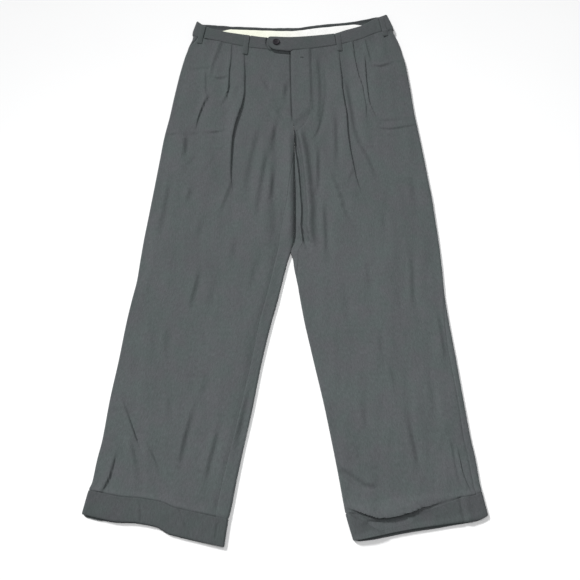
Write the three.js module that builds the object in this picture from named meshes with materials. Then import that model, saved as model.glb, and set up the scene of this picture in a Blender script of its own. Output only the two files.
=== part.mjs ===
// Pleated dress trousers with turn-ups, laid flat on their back, front side up.
// Millimetres. +Y runs from the hems to the waist, +X is the wearer's left, +Z is up.
// The origin is at the middle of the outline, on the surface they lie on.
import * as THREE from 'three';

// ---------- driving sizes ----------
const CLOTH = 1.4;          // wall of a single panel of suiting
const HIP_CLOTH = 1.7;      // the fronts carry their pocket bags and pleat layers
const BAND = 2.4;           // waistband: suiting over interfacing
const TURN_UP = 1.4;        // wall of a turn-up
const LINING = 1.1;         // inner waistband strip
const LOOP = 1.3;           // belt-loop thickness
const LOOP_WIDTH = 11.5;
const GAP = 0.3;            // between two pieces at a seam
const BAND_LIFT = LOOP + GAP + 0.1;   // the back belt loops lie under the band
const BAND_RADIUS = 4.9;    // half the height of the folded waistband
const FLY_RISE = 1.3;       // the left front laps over the right one
const FLY_WIDTH = 40;       // fly facing, from the lap edge to the curved stitching
const LINING_DROP = 8;      // suiting turned over the top of the back band
const BUTTON_RADIUS = 7.7;
const SHIFT = { x: 7.5, y: -482.0 };   // puts the origin at the middle of the outline

// colours
const SUITING = 0x55595a, SUITING_DARK = 0x4b4f50, CREAM = 0xe9e6d2, BUTTON = 0x2b2628, METAL = 0x6d6a64;

// ---------- tables ----------
const table = (columns, rows) => {
  const names = columns.split(' ');
  return rows.map((row) => Object.fromEntries(names.map((n, i) => [n, row[i]])));
};

// Each row crosses one leg from its outer edge (ox, oy) to its inner edge (ix, iy).
//   r: radius of the rolled edge     mid: height of the upper cloth between the edges
//   roll: how far the inner edge is rolled down (0 at the centre seam, 1 on the free leg)
//   wst, hem: share of the waist seam's and the hem's own curve in this row
//   cut: inseam, mm inside the inner edge over the top (negative: underneath)
//   side: side seam, mm beyond the outer edge underneath (negative: on top)
//   mouth: free front edge along the pocket, measured like side
const ROW = 'ox oy ix iy r mid roll wst hem cut side mouth';
const RIGHT = table(ROW, [
  [-217, 977,    2, 939, 3.6, 7.0, 0.0, 1.0, 0.0,  0, 18, -16],
  [-223, 937,    3, 911, 3.6, 7.1, 0.0, 0.8, 0.0,  0, 18, -12],
  [-230, 905,    3, 877, 3.6, 7.1, 0.0, 0.5, 0.0,  0, 18,  -3],
  [-239, 864,    4, 839, 3.6, 7.0, 0.0, 0.2, 0.0,  0, 18,   8],
  [-246, 814,    5, 794, 3.6, 6.9, 0.0, 0.1, 0.0,  0, 18,  18],
  [-254, 765,    7, 750, 3.6, 6.8, 0.0, 0.0, 0.0,  0, 18,  18],
  [-262, 717,    9, 710, 3.6, 6.6, 0.3, 0.0, 0.0,  0, 18,  18],
  [-267, 670,    9, 670, 3.6, 6.4, 0.7, 0.0, 0.0,  4, 18,  18],
  [-272, 624,    9, 624, 3.5, 6.2, 1.0, 0.0, 0.0, 12, 18,  18],
  [-277, 579,    9, 579, 3.5, 6.0, 1.0, 0.0, 0.0, 18, 18,  18],
  [-282, 535,    9, 535, 3.5, 5.9, 1.0, 0.0, 0.0, 26, 18,  18],
  [-287, 492,    8, 494, 3.4, 5.8, 1.0, 0.0, 0.0, 31, 18,  18],
  [-291, 446,   -5, 444, 3.4, 5.7, 1.0, 0.0, 0.0, 27, 18,  18],
  [-294, 409,  -14, 407, 3.3, 5.6, 1.0, 0.0, 0.0, 26, 18,  18],
  [-301, 368,  -24, 364, 3.3, 5.5, 1.0, 0.0, 0.0, 26, 18,  18],
  [-307, 329,  -35, 323, 3.3, 5.4, 1.0, 0.0, 0.0, 25, 18,  18],
  [-316, 252,  -53, 243, 3.3, 5.3, 1.0, 0.0, 0.0, 22, 18,  18],
  [-326, 179,  -68, 161, 3.3, 5.2, 1.0, 0.0, 0.0, 24, 18,  18],
  [-333, 108,  -85,  79, 3.3, 5.2, 1.0, 0.0, 0.1, 25, 18,  18],
  [-339,  74,  -93,  38, 3.3, 5.3, 1.0, 0.0, 0.3, 26, 18,  18],
  [-344,  36, -101,  -8, 3.4, 5.6, 1.0, 0.0, 0.5, 27, 18,  18],
  [-347,  23, -105, -25, 4.2, 7.6, 1.0, 0.0, 0.7, 25, 18,  18],
  [-354, -16, -111, -69, 4.2, 7.6, 1.0, 0.0, 1.0, 22, 18,  18],
]);
const LEFT = table(ROW, [
  [ 231, 990,    2, 939, 3.6, 7.0, 0.0, 1.0, 0.0,  0, 28, -14],
  [ 238, 955,    3, 911, 3.6, 7.1, 0.0, 0.8, 0.0,  0, 28, -12],
  [ 245, 925,    3, 877, 3.6, 7.1, 0.0, 0.5, 0.0,  0, 28,  -8],
  [ 253, 885,    4, 839, 3.6, 7.0, 0.0, 0.2, 0.0,  0, 28,   3],
  [ 258, 831,    5, 794, 3.6, 6.9, 0.0, 0.1, 0.0,  0, 28,  28],
  [ 263, 777,    7, 750, 3.6, 6.8, 0.0, 0.0, 0.0,  0, 28,  28],
  [ 270, 722,   10, 710, 3.6, 6.6, 0.3, 0.0, 0.0,  4, 26,  26],
  [ 276, 670,   10, 670, 3.6, 6.4, 0.7, 0.0, 0.0, 13, 24,  24],
  [ 281, 624,   10, 624, 3.5, 6.2, 1.0, 0.0, 0.0, 17, 21,  21],
  [ 286, 579,   10, 579, 3.5, 6.0, 1.0, 0.0, 0.0, 19, 18,  18],
  [ 289, 535,   10, 535, 3.5, 5.9, 1.0, 0.0, 0.0, 18, 14,  14],
  [ 292, 492,  9.4, 492, 3.4, 5.8, 1.0, 0.0, 0.0, 20, 10,  10],
  [ 294, 446,    7, 446, 3.4, 5.7, 1.0, 0.0, 0.0, 11,  6,   6],
  [ 295, 409,   13, 407, 3.3, 5.6, 1.0, 0.0, 0.0,  2,  2,   2],
  [ 296, 368,   20, 364, 3.3, 5.5, 1.0, 0.0, 0.0, -5, -4,  -4],
  [ 299, 329,   27, 325, 3.3, 5.4, 1.0, 0.0, 0.0, -6,-10, -10],
  [ 307, 252,   44, 247, 3.3, 5.3, 1.0, 0.0, 0.0, -6,-14, -14],
  [ 314, 179,   61, 170, 3.3, 5.2, 1.0, 0.0, 0.0, -6,-13, -13],
  [ 321, 111,   76,  92, 3.3, 5.2, 1.0, 0.0, 0.1, -6,-15, -15],
  [ 326,  77,   84,  48, 3.3, 5.3, 1.0, 0.0, 0.3, -6,-15, -15],
  [ 330,  33,   92,   0, 3.4, 5.6, 1.0, 0.0, 0.5, -6,-14, -14],
  [ 332,  20,   95, -16, 4.2, 7.6, 1.0, 0.0, 0.7, -6,-14, -14],
  [ 339, -18,  107, -59, 4.2, 7.6, 1.0, 0.0, 1.0, -6,-14, -14],
]);
const CUFF_TOP = 21;         // row at the upper edge of the turn-ups; the last row is the hem
const BARE = 20;             // last row of leg that shows above them

// curves across the waist: x, y
const XY = 'x y';
const SEAM_FRONT = table(XY, [[-217, 977], [-200, 970], [-153, 959], [-98, 945], [-48, 938], [2, 935],
  [76, 945], [120, 954], [153, 964], [187, 980], [205, 986], [231, 990]]);
const TOP_FRONT = table(XY, [[-207, 1015], [-187, 1000], [-150, 987], [-97, 977], [-48, 970], [0, 969],
  [61, 976], [99, 981], [121, 989], [159, 1002], [184, 1018], [216, 1033]]);
const SEAM_BACK = table(XY, [[-217, 977], [-189, 968], [-111, 961], [0, 957], [67, 965], [133, 973], [185, 983], [231, 990]]);
const TOP_BACK = table(XY, [[-207, 1015], [-189, 1008], [-111, 1001], [0, 997], [67, 1006], [133, 1014], [185, 1025], [216, 1033]]);
// rounded tab at the end of the left band: x, lower edge, upper edge
const TAB = table('x low high', [[-49, 954, 964], [-46.5, 946.5, 969], [-41, 939.5, 970.5], [-34, 935.5, 970.3], [-20, 933, 969.6], [-4, 932, 969]]);
// what the hem adds to a straight line from outer to inner edge: share across, mm
const HEM_RIGHT = table(XY, [[0, 0], [0.2, 0], [0.4, 7], [0.52, 8], [0.62, 1], [1, 0]]);
const HEM_LEFT = table(XY, [[0, 0], [0.08, -5], [0.3, -2], [0.65, 1.5], [1, 0]]);

// Pleats and the largest folds. x at each y follows the fold; the cloth stands `rise` above the
// panel on the wearer's right of the line and `dip` below it on the other side; ru and rd are
// the widths of the two, and the fold fades out above `top` and below `foot`.
const PLEAT = 'name at rise dip ru rd top foot';
const PLEATS_RIGHT = table(PLEAT, [
  ['A', table(XY, [[-100, 930], [-97, 887], [-98, 836], [-109, 774], [-120, 714], [-121, 668], [-115, 608]]), 2.2, 1.6, 16, 20, 925, 590],
  ['B', table(XY, [[-127, 944], [-128, 913], [-131, 841], [-144, 806]]), 1.3, 1.0, 10, 14, 950, 800],
  ['C', table(XY, [[-151, 949], [-159, 926], [-170, 882], [-178, 820]]), 1.2, 0.8, 10, 14, 955, 860],
]);
const PLEATS_LEFT = table(PLEAT, [
  ['A', table(XY, [[107, 925], [110, 874], [114, 811], [119, 738], [127, 668], [141, 599]]), 2.2, 1.6, 16, 22, 920, 590],
  ['B', table(XY, [[138, 947], [141, 913], [154, 849], [162, 787]]), 1.3, 1.0, 10, 12, 950, 770],
  ['C', table(XY, [[163, 920], [163, 874], [167, 811], [178, 777]]), 1.4, 1.0, 10, 16, 915, 770],
]);

// ---------- interpolation ----------
const clamp = (v, a, b) => Math.min(b, Math.max(a, v));
const lerp = (a, b, t) => a + (b - a) * t;
const smooth = (v) => { const t = clamp(v, 0, 1); return t * t * (3 - 2 * t); };

// y of a curve table at x, straight between rows
function curve(rows, x) {
  const up = rows[0].x < rows[rows.length - 1].x;
  const list = up ? rows : [...rows].reverse();
  let i = 0;
  while (i < list.length - 2 && x > list[i + 1].x) i++;
  const t = clamp((x - list[i].x) / (list[i + 1].x - list[i].x), 0, 1);
  return lerp(list[i].y, list[i + 1].y, t);
}

// x of a fold at height y; beyond its ends it keeps its share of the leg's width
function foldX(fold, y, inner, width, sign) {
  const rows = fold.at, last = rows[rows.length - 1];
  if (y >= rows[0].y) return rows[0].x;
  if (y <= last.y) return inner + sign * width * fold.share;
  let i = 0;
  while (y < rows[i + 1].y) i++;
  return lerp(rows[i].x, rows[i + 1].x, (rows[i].y - y) / (rows[i].y - rows[i + 1].y));
}

// row of a leg table at a fractional index
function rowAt(leg, v) {
  const i = Math.min(Math.floor(v), leg.length - 2), t = v - i, out = {};
  for (const k of Object.keys(leg[0])) out[k] = lerp(leg[i][k], leg[i + 1][k], t);
  return out;
}

// ---------- one leg as a flattened tube ----------
function makeLeg(rows, sign, pleats, hem) {
  // share of the width that each fold keeps below its foot
  for (const p of pleats) {
    const last = p.at[p.at.length - 1];
    let i = 0;
    while (i < rows.length - 2 && rows[i + 1].oy > last.y) i++;
    const t = clamp((rows[i].oy - last.y) / (rows[i].oy - rows[i + 1].oy), 0, 1);
    const ix = lerp(rows[i].ix, rows[i + 1].ix, t), ox = lerp(rows[i].ox, rows[i + 1].ox, t);
    p.share = (last.x - ix) / (ox - ix);
  }
  // arc lengths of a row's section, from the inner edge over the top to the outer edge
  const measure = (row) => {
    const dx = row.ox - row.ix, dy = row.oy - row.iy, W = Math.hypot(dx, dy);
    const th = row.roll * Math.PI / 2, a1 = row.r * th;
    const flat = W - row.r * Math.sin(th) - row.r;
    return { W, th, a1, flat, L: a1 + flat + row.r * Math.PI / 2, ex: dx / W, ey: dy / W };
  };
  const relief = (x, y, row, W) => {
    let up = 0, down = 0;
    for (const p of pleats) {
      const fade = smooth((p.top - y) / 60 + 0.35) * smooth((y - p.foot) / 120);
      if (fade <= 0) continue;
      const s = x - foldX(p, y, row.ix, W, sign);
      if (s < 0) up += p.rise * fade * Math.exp(-((s / p.ru) ** 2));
      else down -= p.dip * fade * Math.exp(-((s / p.rd) ** 2));
    }
    return { up, down };
  };
  // a point of the section: a is the arc from the inner edge, off the distance outwards
  const point = (row, a, off, isInner) => {
    const m = measure(row);
    const under = a > m.L || a < 0;
    let b = a > m.L ? 2 * m.L - a : Math.abs(a);
    let u, nx = 0, nz = 1, z;
    if (b < m.a1) {
      const ph = m.th - b / row.r;
      u = row.r * Math.sin(m.th) - row.r * Math.sin(ph); nx = -Math.sin(ph); nz = Math.cos(ph);
      z = row.r + row.r * Math.cos(ph);
    } else if (b > m.a1 + m.flat) {
      const ph = (b - m.a1 - m.flat) / row.r;
      u = m.W - row.r + row.r * Math.sin(ph); nx = Math.sin(ph); nz = Math.cos(ph);
      z = row.r + row.r * Math.cos(ph);
    } else { u = row.r * Math.sin(m.th) + b - m.a1; z = 2 * row.r; }
    if (!under) {
      const w = smooth((m.W - u) / 40) * (row.roll > 0 ? lerp(1, smooth(u / 40), row.roll) : 1);
      z += (row.mid - 2 * row.r) * w;
    } else { z = 2 * row.r - z; nz = -nz; }
    u += nx * off; z += nz * off;
    const x = row.ix + m.ex * u;
    let y = row.iy + m.ey * u;
    const line = row.iy + m.ey * clamp(u, 0, m.W);
    const seam = curve(under ? SEAM_BACK : SEAM_FRONT, x);
    y += row.wst * (seam - line) + row.hem * curve(hem, clamp(1 - u / m.W, 0, 1));
    if (!under) {
      const g = relief(x, y, row, m.W);
      z += isInner ? g.down : g.up + g.down;
      // the left front laps over the right one at the fly
      if (sign > 0) z += FLY_RISE * smooth((FLY_WIDTH + 6 - u) / 10) * smooth((y - 745 - u * 0.9) / 25);
      if (isInner) z = Math.max(z, CLOTH + 0.45);
    }
    return new THREE.Vector3(x, y, z);
  };
  // columns of the front panel at a row: anchors at the rolled edges and along the folds
  const frontColumns = (row) => {
    const m = measure(row), q = row.r * Math.PI / 2;
    const start = row.cut + (row.roll > 0 ? 0 : GAP / 2), end = m.L + row.mouth;
    const ofX = (x) => m.a1 + (x - row.ix) / m.ex - row.r * Math.sin(m.th);
    const y = (row.oy + row.iy) / 2;
    const list = [-q, 0, q * 0.6, q + 6];
    list.push(m.a1 + 44);
    for (const p of pleats) {
      const s = ofX(foldX(p, y, row.ix, m.W, sign));
      const steps = p.name === 'A' ? [-9, -0.9, 0.9, 10] : [-0.9, 0.9, 9];
      for (const d of steps) list.push(s + d * sign);
    }
    list.sort((p, r) => p - r);
    list.push(m.L - 24, m.L - q, m.L - q / 2, m.L, m.L + q / 2, m.L + q);
    return spread(list, start, end);
  };
  const backColumns = (row) => {
    const m = measure(row), q = row.r * Math.PI / 2;
    const start = m.L + row.side + GAP, end = 2 * m.L + row.cut - (row.roll > 0 ? GAP : GAP / 2);
    const list = [m.L - q, m.L, m.L + q, 2 * m.L - m.flat * 0.75, 2 * m.L - m.flat * 0.5, 2 * m.L - m.flat * 0.25,
      2 * m.L - q - 5, 2 * m.L - q * 0.6, 2 * m.L, 2 * m.L + q * 0.6, 2 * m.L + q + 2];
    return spread(list, start, end);
  };
  // a back panel runs on over the inner edge when the inseam is drawn to the front
  const pointAny = (row, a, off, isInner) => {
    const m = measure(row);
    return a > 2 * m.L ? point(row, a - 2 * m.L, off, isInner) : point(row, a, off, isInner);
  };
  return { rows, measure, point: pointAny, frontColumns, backColumns };
}

// keep a sorted list of columns inside start..end, at least 1.5 mm apart
function spread(list, start, end) {
  const n = list.length, step = Math.min(1.5, (end - start) / (n + 2));
  const out = list.map((v, k) => clamp(v, start + (k + 1) * step, end - (n - k) * step));
  for (let k = 1; k < n; k++) out[k] = Math.max(out[k], out[k - 1] + step * 0.9);
  for (let k = n - 1; k >= 0; k--) out[k] = Math.min(out[k], (k === n - 1 ? end : out[k + 1]) - step * 0.9);
  return [start, ...out, end];
}

// ---------- walls from two grids of points ----------
const group = new THREE.Group();
function addWall(name, outer, inner, colour, ring = false, roughness = 0.9) {
  const R = outer.length, C = outer[0].length, pos = [], idx = [];
  for (const grid of [outer, inner]) for (const row of grid) for (const p of row) pos.push(p.x + SHIFT.x, p.y + SHIFT.y, p.z);
  const o = (i, j) => i * C + (j % C), n = (i, j) => R * C + i * C + (j % C);
  const quad = (a, b, c, d) => idx.push(a, b, c, a, c, d);
  const J = ring ? C : C - 1;
  for (let i = 0; i < R - 1; i++) for (let j = 0; j < J; j++) {
    quad(o(i, j), o(i + 1, j), o(i + 1, j + 1), o(i, j + 1));
    quad(n(i, j), n(i, j + 1), n(i + 1, j + 1), n(i + 1, j));
  }
  for (let j = 0; j < J; j++) {
    quad(o(0, j), o(0, j + 1), n(0, j + 1), n(0, j));
    quad(o(R - 1, j), n(R - 1, j), n(R - 1, j + 1), o(R - 1, j + 1));
  }
  if (!ring) for (let i = 0; i < R - 1; i++) {
    quad(o(i, 0), n(i, 0), n(i + 1, 0), o(i + 1, 0));
    quad(o(i, C - 1), o(i + 1, C - 1), n(i + 1, C - 1), n(i, C - 1));
  }
  let volume = 0;
  for (let k = 0; k < idx.length; k += 3) {
    const [a, b, c] = [0, 1, 2].map((s) => new THREE.Vector3().fromArray(pos, idx[k + s] * 3));
    volume += a.dot(b.cross(c));
  }
  if (volume < 0) for (let k = 0; k < idx.length; k += 3) { const t = idx[k + 1]; idx[k + 1] = idx[k + 2]; idx[k + 2] = t; }
  const geometry = new THREE.BufferGeometry();
  geometry.setAttribute('position', new THREE.Float32BufferAttribute(pos, 3));
  geometry.setIndex(idx);
  geometry.computeVertexNormals();
  const mesh = new THREE.Mesh(geometry, new THREE.MeshStandardMaterial({ color: colour, roughness, metalness: 0 }));
  mesh.name = name;
  group.add(mesh);
  return mesh;
}

// ---------- leg panels, pocket facings and turn-ups ----------
const legs = {
  right: makeLeg(RIGHT, -1, PLEATS_RIGHT, HEM_RIGHT),
  left: makeLeg(LEFT, 1, PLEATS_LEFT, HEM_LEFT),
};
// rows of the panels: every row of the table, with the first moved off the waist seam
const insideTurnUp = (v) => (v >= CUFF_TOP ? -(TURN_UP + GAP) : 0);
for (const [side, leg] of Object.entries(legs)) {
  const stations = leg.rows.map((_, i) => (i === 0 ? 0.02 : i));
  const build = (columns, thick) => {
    const outer = [], inner = [];
    for (const v of stations) {
      const row = rowAt(leg.rows, v), off = insideTurnUp(v);
      const cols = columns(row);
      const t = lerp(thick, CLOTH, smooth((v - 5) / 5));
      outer.push(cols.map((a) => leg.point(row, a, off, false)));
      inner.push(cols.map((a) => leg.point(row, a, off - t, true)));
    }
    return [outer, inner];
  };
  addWall(`front_${side}`, ...build(leg.frontColumns, HIP_CLOTH), SUITING);
  addWall(`back_${side}`, ...build(leg.backColumns, CLOTH), SUITING_DARK);

  // slanted pocket: the facing lies a little under the free edge of the front
  const outer = [], inner = [];
  for (const v of [0.02, 1, 2, 3]) {
    const row = rowAt(leg.rows, v), m = leg.measure(row), q = row.r * Math.PI / 2;
    const cols = spread([m.L - q, m.L - q / 2, m.L, m.L + q / 2, m.L + q], m.L + row.mouth + 2 * GAP, m.L + row.side - 0.02);
    outer.push(cols.map((a) => leg.point(row, a, a > m.L + q ? 0 : -0.5 * smooth((m.L + q - a) / 8), false)));
    inner.push(cols.map((a) => leg.point(row, a, -CLOTH - 0.1, true)));
  }
  addWall(`pocket_facing_${side}`, outer, inner, SUITING_DARK);

  // turn-up: a band all round the foot of the leg
  const ringOut = [], ringIn = [];
  for (const v of [CUFF_TOP, CUFF_TOP + 0.5, CUFF_TOP + 1]) {
    const row = rowAt(leg.rows, v), m = leg.measure(row), q = row.r * Math.PI / 2;
    const cols = [0, q / 2, q, q + 20, m.L * 0.3, m.L * 0.45, m.L * 0.6, m.L * 0.75, m.L - q - 20, m.L - q, m.L - q / 2, m.L,
      m.L + q / 2, m.L + q, m.L + q + 20, m.L * 1.3, m.L * 1.5, m.L * 1.7, 2 * m.L - q - 20, 2 * m.L - q, 2 * m.L - q / 2];
    ringOut.push(cols.map((a) => leg.point(row, a, 0, false)));
    ringIn.push(cols.map((a) => leg.point(row, a, -TURN_UP, false)));
  }
  addWall(`cuff_${side}`, ringOut, ringIn, SUITING, true);
}

// ---------- waistband ----------
const FRONT_Z = BAND_LIFT + 2 * BAND_RADIUS;   // outer face of the front band
const TAB_RISE = BAND + GAP;                   // the tab lies on the right half
// point of the band at level k (0 seam, 1 top): s runs from the centre front over the side fold to the centre back
function bandSection(sign, fronts, k, off, raise) {
  const side = sign < 0 ? { x: lerp(-217, -207, k), y: lerp(977, 1015, k) } : { x: lerp(231, 216, k), y: lerp(990, 1033, k) };
  const front = (x) => lerp(curve(SEAM_FRONT, x) + GAP, curve(TOP_FRONT, x), k);
  const back = (x) => lerp(curve(SEAM_BACK, x) + GAP, curve(TOP_BACK, x), k);
  const foldX0 = side.x - sign * BAND_RADIUS, pts = [];
  for (const x of fronts) pts.push(new THREE.Vector3(x, front(x), FRONT_Z + off + raise(x)));
  for (let i = 0; i <= 6; i++) {
    const ph = (i / 6) * Math.PI, x = foldX0 + sign * (BAND_RADIUS + off) * Math.sin(ph);
    const near = lerp(front(foldX0), back(foldX0), (1 - Math.cos(ph)) / 2);
    const y = lerp(near, side.y + (k < 0.01 ? GAP : 0), Math.sin(ph));
    pts.push(new THREE.Vector3(x, y, BAND_LIFT + BAND_RADIUS + (BAND_RADIUS + off) * Math.cos(ph)));
  }
  for (const t of [0.15, 0.35, 0.6, 0.8, 1]) {
    const x = lerp(foldX0, sign * GAP / 2, t);
    pts.push(new THREE.Vector3(x, back(x), BAND_LIFT - off));
  }
  return pts;
}
const LEVELS = [0, 0.5, 1];
{
  const fronts = [1.7, -12, -30, -45, -62, -80, -97, -125, -150, -175, -193];
  const flat = () => 0;
  addWall('waistband_right', LEVELS.map((k) => bandSection(-1, fronts, k, 0, flat)), LEVELS.map((k) => bandSection(-1, fronts, k, -BAND, flat)), SUITING);
}
{
  const fronts = [18, 30, 48, 61, 80, 99, 110, 121, 140, 159, 172, 184, 200];
  const rise = () => 0;
  const grid = (off) => LEVELS.map((k) => {
    const tab = TAB.map((t) => new THREE.Vector3(t.x, lerp(t.low, t.high, k), FRONT_Z + TAB_RISE + off));
    tab.push(new THREE.Vector3(4, lerp(935.2, 969, k), FRONT_Z + TAB_RISE + off));
    return [...tab, ...bandSection(1, fronts, k, off, rise)];
  });
  addWall('waistband_left', grid(0), grid(-BAND), SUITING);
}
{ // pale strip on the inside of the back band
  const xs = [-200, -180, -150, -111, -60, 0, 40, 67, 100, 133, 165, 190, 208];
  const z = BAND_LIFT + BAND + GAP;
  const grid = (h) => [0, 1].map((k) => xs.map((x) => new THREE.Vector3(x, lerp(curve(SEAM_BACK, x) + 3, curve(TOP_BACK, x) - LINING_DROP, k), h)));
  addWall('waistband_lining', grid(z + LINING), grid(z), CREAM);
}

// ---------- belt loops ----------
// a loop is a strip that stands just clear of the band and arches a little in the middle
function loop(name, top, bottom, faceZ, faceUp, foot) {
  const n = 7, outer = [], inner = [];
  const dir = new THREE.Vector2(bottom[0] - top[0], bottom[1] - top[1]).normalize();
  const side = new THREE.Vector2(-dir.y, dir.x);
  for (let i = 0; i < n; i++) {
    const t = i / (n - 1), arch = faceUp ? 0.9 * Math.sin(Math.PI * t) : 0;
    const x = lerp(top[0], bottom[0], t), y = lerp(top[1], bottom[1], t);
    const z = faceZ(x, y) + arch;
    const at = (w, h) => new THREE.Vector3(x + side.x * w, y + side.y * w, h);
    const widths = [-LOOP_WIDTH / 2, -LOOP_WIDTH / 2 + 1, LOOP_WIDTH / 2 - 1, LOOP_WIDTH / 2];
    outer.push(widths.map((w, j) => at(w, z + (j === 0 || j === 3 ? LOOP - 0.4 : LOOP))));
    inner.push(widths.map((w) => at(w, z)));
  }
  if (foot) for (let i = n - 2; i < n; i++) for (const p of [...outer[i], ...inner[i]]) p.z -= foot * (i === n - 1 ? 1 : 0.55);
  addWall(name, outer, inner, SUITING);
}
const ontoBand = () => FRONT_Z + GAP;
loop('loop_front_right', [-94, 976.5], [-98, 926], ontoBand, true, 0);
loop('loop_front_left', [103, 981.5], [107, 934], ontoBand, true, 0);
loop('loop_side_right', [-190, 1001], [-195, 957], ontoBand, true, 0);
loop('loop_side_left', [204, 1026], [210, 974], ontoBand, true, 0);
const underBand = () => 0;
loop('loop_back_right', [-100, 999.5], [-101, 963.5], underBand, false, 0);
loop('loop_back_centre', [0, 996.5], [0, 959], underBand, false, 0);
loop('loop_back_left', [104, 1009.5], [105, 971], underBand, false, 0);

// ---------- fly zip, closed ----------
{
  const ys = [926, 890, 850, 810, 772], cx = (y) => lerp(7, 2, clamp((y - 750) / 189, 0, 1));
  const z = CLOTH + 0.5, half = 13;
  const grid = (edge, teeth) => ys.map((y) => [[-half, edge], [-3, edge], [-2, teeth], [2, teeth], [3, edge], [half, edge]]
    .map(([w, h]) => new THREE.Vector3(cx(y) + w, y - 12, h)));
  addWall('fly_zip', grid(z + 1.1, z + 1.9), grid(z, z), SUITING_DARK);
  const slider = (h, s) => [0, 1, 2].map((i) => [-4.2, -2, 2, 4.2].map((w) => new THREE.Vector3(2.6 + w * s[i], 914.4 + i * 5, h)));
  addWall('zip_slider', slider(z + 2.4, [0.8, 1, 0.85]), slider(z, [0.8, 1, 0.85]), METAL, false, 0.4);
}

// ---------- tab button ----------
{
  const z = FRONT_Z + TAB_RISE + GAP, r = BUTTON_RADIUS;
  const profile = [[0, 0], [r * 0.55, 0], [r * 0.9, 0.5], [r, 1.3], [r * 0.97, 2.1], [r * 0.86, 2.7], [r * 0.72, 2.6], [r * 0.6, 2.1], [0, 2.0]]
    .map(([a, b]) => new THREE.Vector2(a, b));
  const geometry = new THREE.LatheGeometry(profile, 24);
  geometry.rotateX(Math.PI / 2);
  const mesh = new THREE.Mesh(geometry, new THREE.MeshStandardMaterial({ color: BUTTON, roughness: 0.35, metalness: 0 }));
  mesh.position.set(-30 + SHIFT.x, 954 + SHIFT.y, z);
  mesh.name = 'front_button';
  group.add(mesh);
}

export default group;
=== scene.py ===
"""Pleated dress trousers with turn-ups, laid flat on their back, front side up.

Tables are in millimetres with y = 0 near the hems; to_frame() moves them into the model's frame.
Every cloth piece is a closed thin shell laid on its solid's form, with its folds placed one by one.
"""

import math

import bpy
import numpy as np
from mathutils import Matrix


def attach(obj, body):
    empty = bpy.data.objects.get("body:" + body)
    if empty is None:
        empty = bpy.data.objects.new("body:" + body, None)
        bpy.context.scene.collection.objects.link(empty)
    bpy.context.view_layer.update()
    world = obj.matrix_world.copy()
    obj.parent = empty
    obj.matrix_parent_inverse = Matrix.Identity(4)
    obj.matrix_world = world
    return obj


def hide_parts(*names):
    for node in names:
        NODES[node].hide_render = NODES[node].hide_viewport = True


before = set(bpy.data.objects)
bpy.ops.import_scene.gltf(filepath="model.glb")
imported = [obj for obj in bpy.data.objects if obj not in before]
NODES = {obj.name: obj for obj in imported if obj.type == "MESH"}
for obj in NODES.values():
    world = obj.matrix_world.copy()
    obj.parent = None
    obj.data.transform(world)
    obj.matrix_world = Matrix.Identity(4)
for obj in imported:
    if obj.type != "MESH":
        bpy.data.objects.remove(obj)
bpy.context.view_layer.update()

# ------------------------------------------------------------------ sizes, mm
SHIFT = np.array([7.5, -482.0, 0.0])
CLOTH = 1.3            # wall of one panel of suiting
BAND = 2.4
LOOP_WIDTH = 11.5
GAP = 0.3
BAND_LIFT = 1.7
BAND_RADIUS = 4.9
FRONT_Z = BAND_LIFT + 2 * BAND_RADIUS
TAB_RISE = BAND + GAP
BUTTON = (-30.0, 954.0)
FLOOR_CLEAR = 0.15     # the lowest cloth stands this far off the floor
TAU = 2 * math.pi

COLUMNS = "ox oy ix iy r mid roll wst hem cut side mouth".split()
RIGHT = [
    (-217, 977, 2, 939, 3.6, 7.0, 0.0, 1.0, 0.0, 0, 18, -16),
    (-223, 937, 3, 911, 3.6, 7.1, 0.0, 0.8, 0.0, 0, 18, -12),
    (-230, 905, 3, 877, 3.6, 7.1, 0.0, 0.5, 0.0, 0, 18, -3),
    (-239, 864, 4, 839, 3.6, 7.0, 0.0, 0.2, 0.0, 0, 18, 8),
    (-246, 814, 5, 794, 3.6, 6.9, 0.0, 0.1, 0.0, 0, 18, 18),
    (-254, 765, 7, 750, 3.6, 6.8, 0.0, 0.0, 0.0, 0, 18, 18),
    (-262, 717, 9, 710, 3.6, 6.6, 0.3, 0.0, 0.0, 0, 18, 18),
    (-267, 670, 9, 670, 3.6, 6.4, 0.7, 0.0, 0.0, 4, 18, 18),
    (-272, 624, 9, 624, 3.5, 6.2, 1.0, 0.0, 0.0, 12, 18, 18),
    (-277, 579, 9, 579, 3.5, 6.0, 1.0, 0.0, 0.0, 18, 18, 18),
    (-282, 535, 9, 535, 3.5, 5.9, 1.0, 0.0, 0.0, 26, 18, 18),
    (-287, 492, 8, 494, 3.4, 5.8, 1.0, 0.0, 0.0, 31, 18, 18),
    (-291, 446, -5, 444, 3.4, 5.7, 1.0, 0.0, 0.0, 27, 18, 18),
    (-294, 409, -14, 407, 3.3, 5.6, 1.0, 0.0, 0.0, 26, 18, 18),
    (-301, 368, -24, 364, 3.3, 5.5, 1.0, 0.0, 0.0, 26, 18, 18),
    (-307, 329, -35, 323, 3.3, 5.4, 1.0, 0.0, 0.0, 25, 18, 18),
    (-316, 252, -53, 243, 3.3, 5.3, 1.0, 0.0, 0.0, 22, 18, 18),
    (-326, 179, -68, 161, 3.3, 5.2, 1.0, 0.0, 0.0, 24, 18, 18),
    (-333, 108, -85, 79, 3.3, 5.2, 1.0, 0.0, 0.1, 25, 18, 18),
    (-339, 74, -93, 38, 3.3, 5.3, 1.0, 0.0, 0.3, 26, 18, 18),
    (-344, 36, -101, -8, 3.4, 5.6, 1.0, 0.0, 0.5, 27, 18, 18),
    (-347, 23, -105, -25, 4.2, 7.6, 1.0, 0.0, 0.7, 25, 18, 18),
    (-354, -16, -111, -69, 4.2, 7.6, 1.0, 0.0, 1.0, 22, 18, 18),
]
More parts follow.
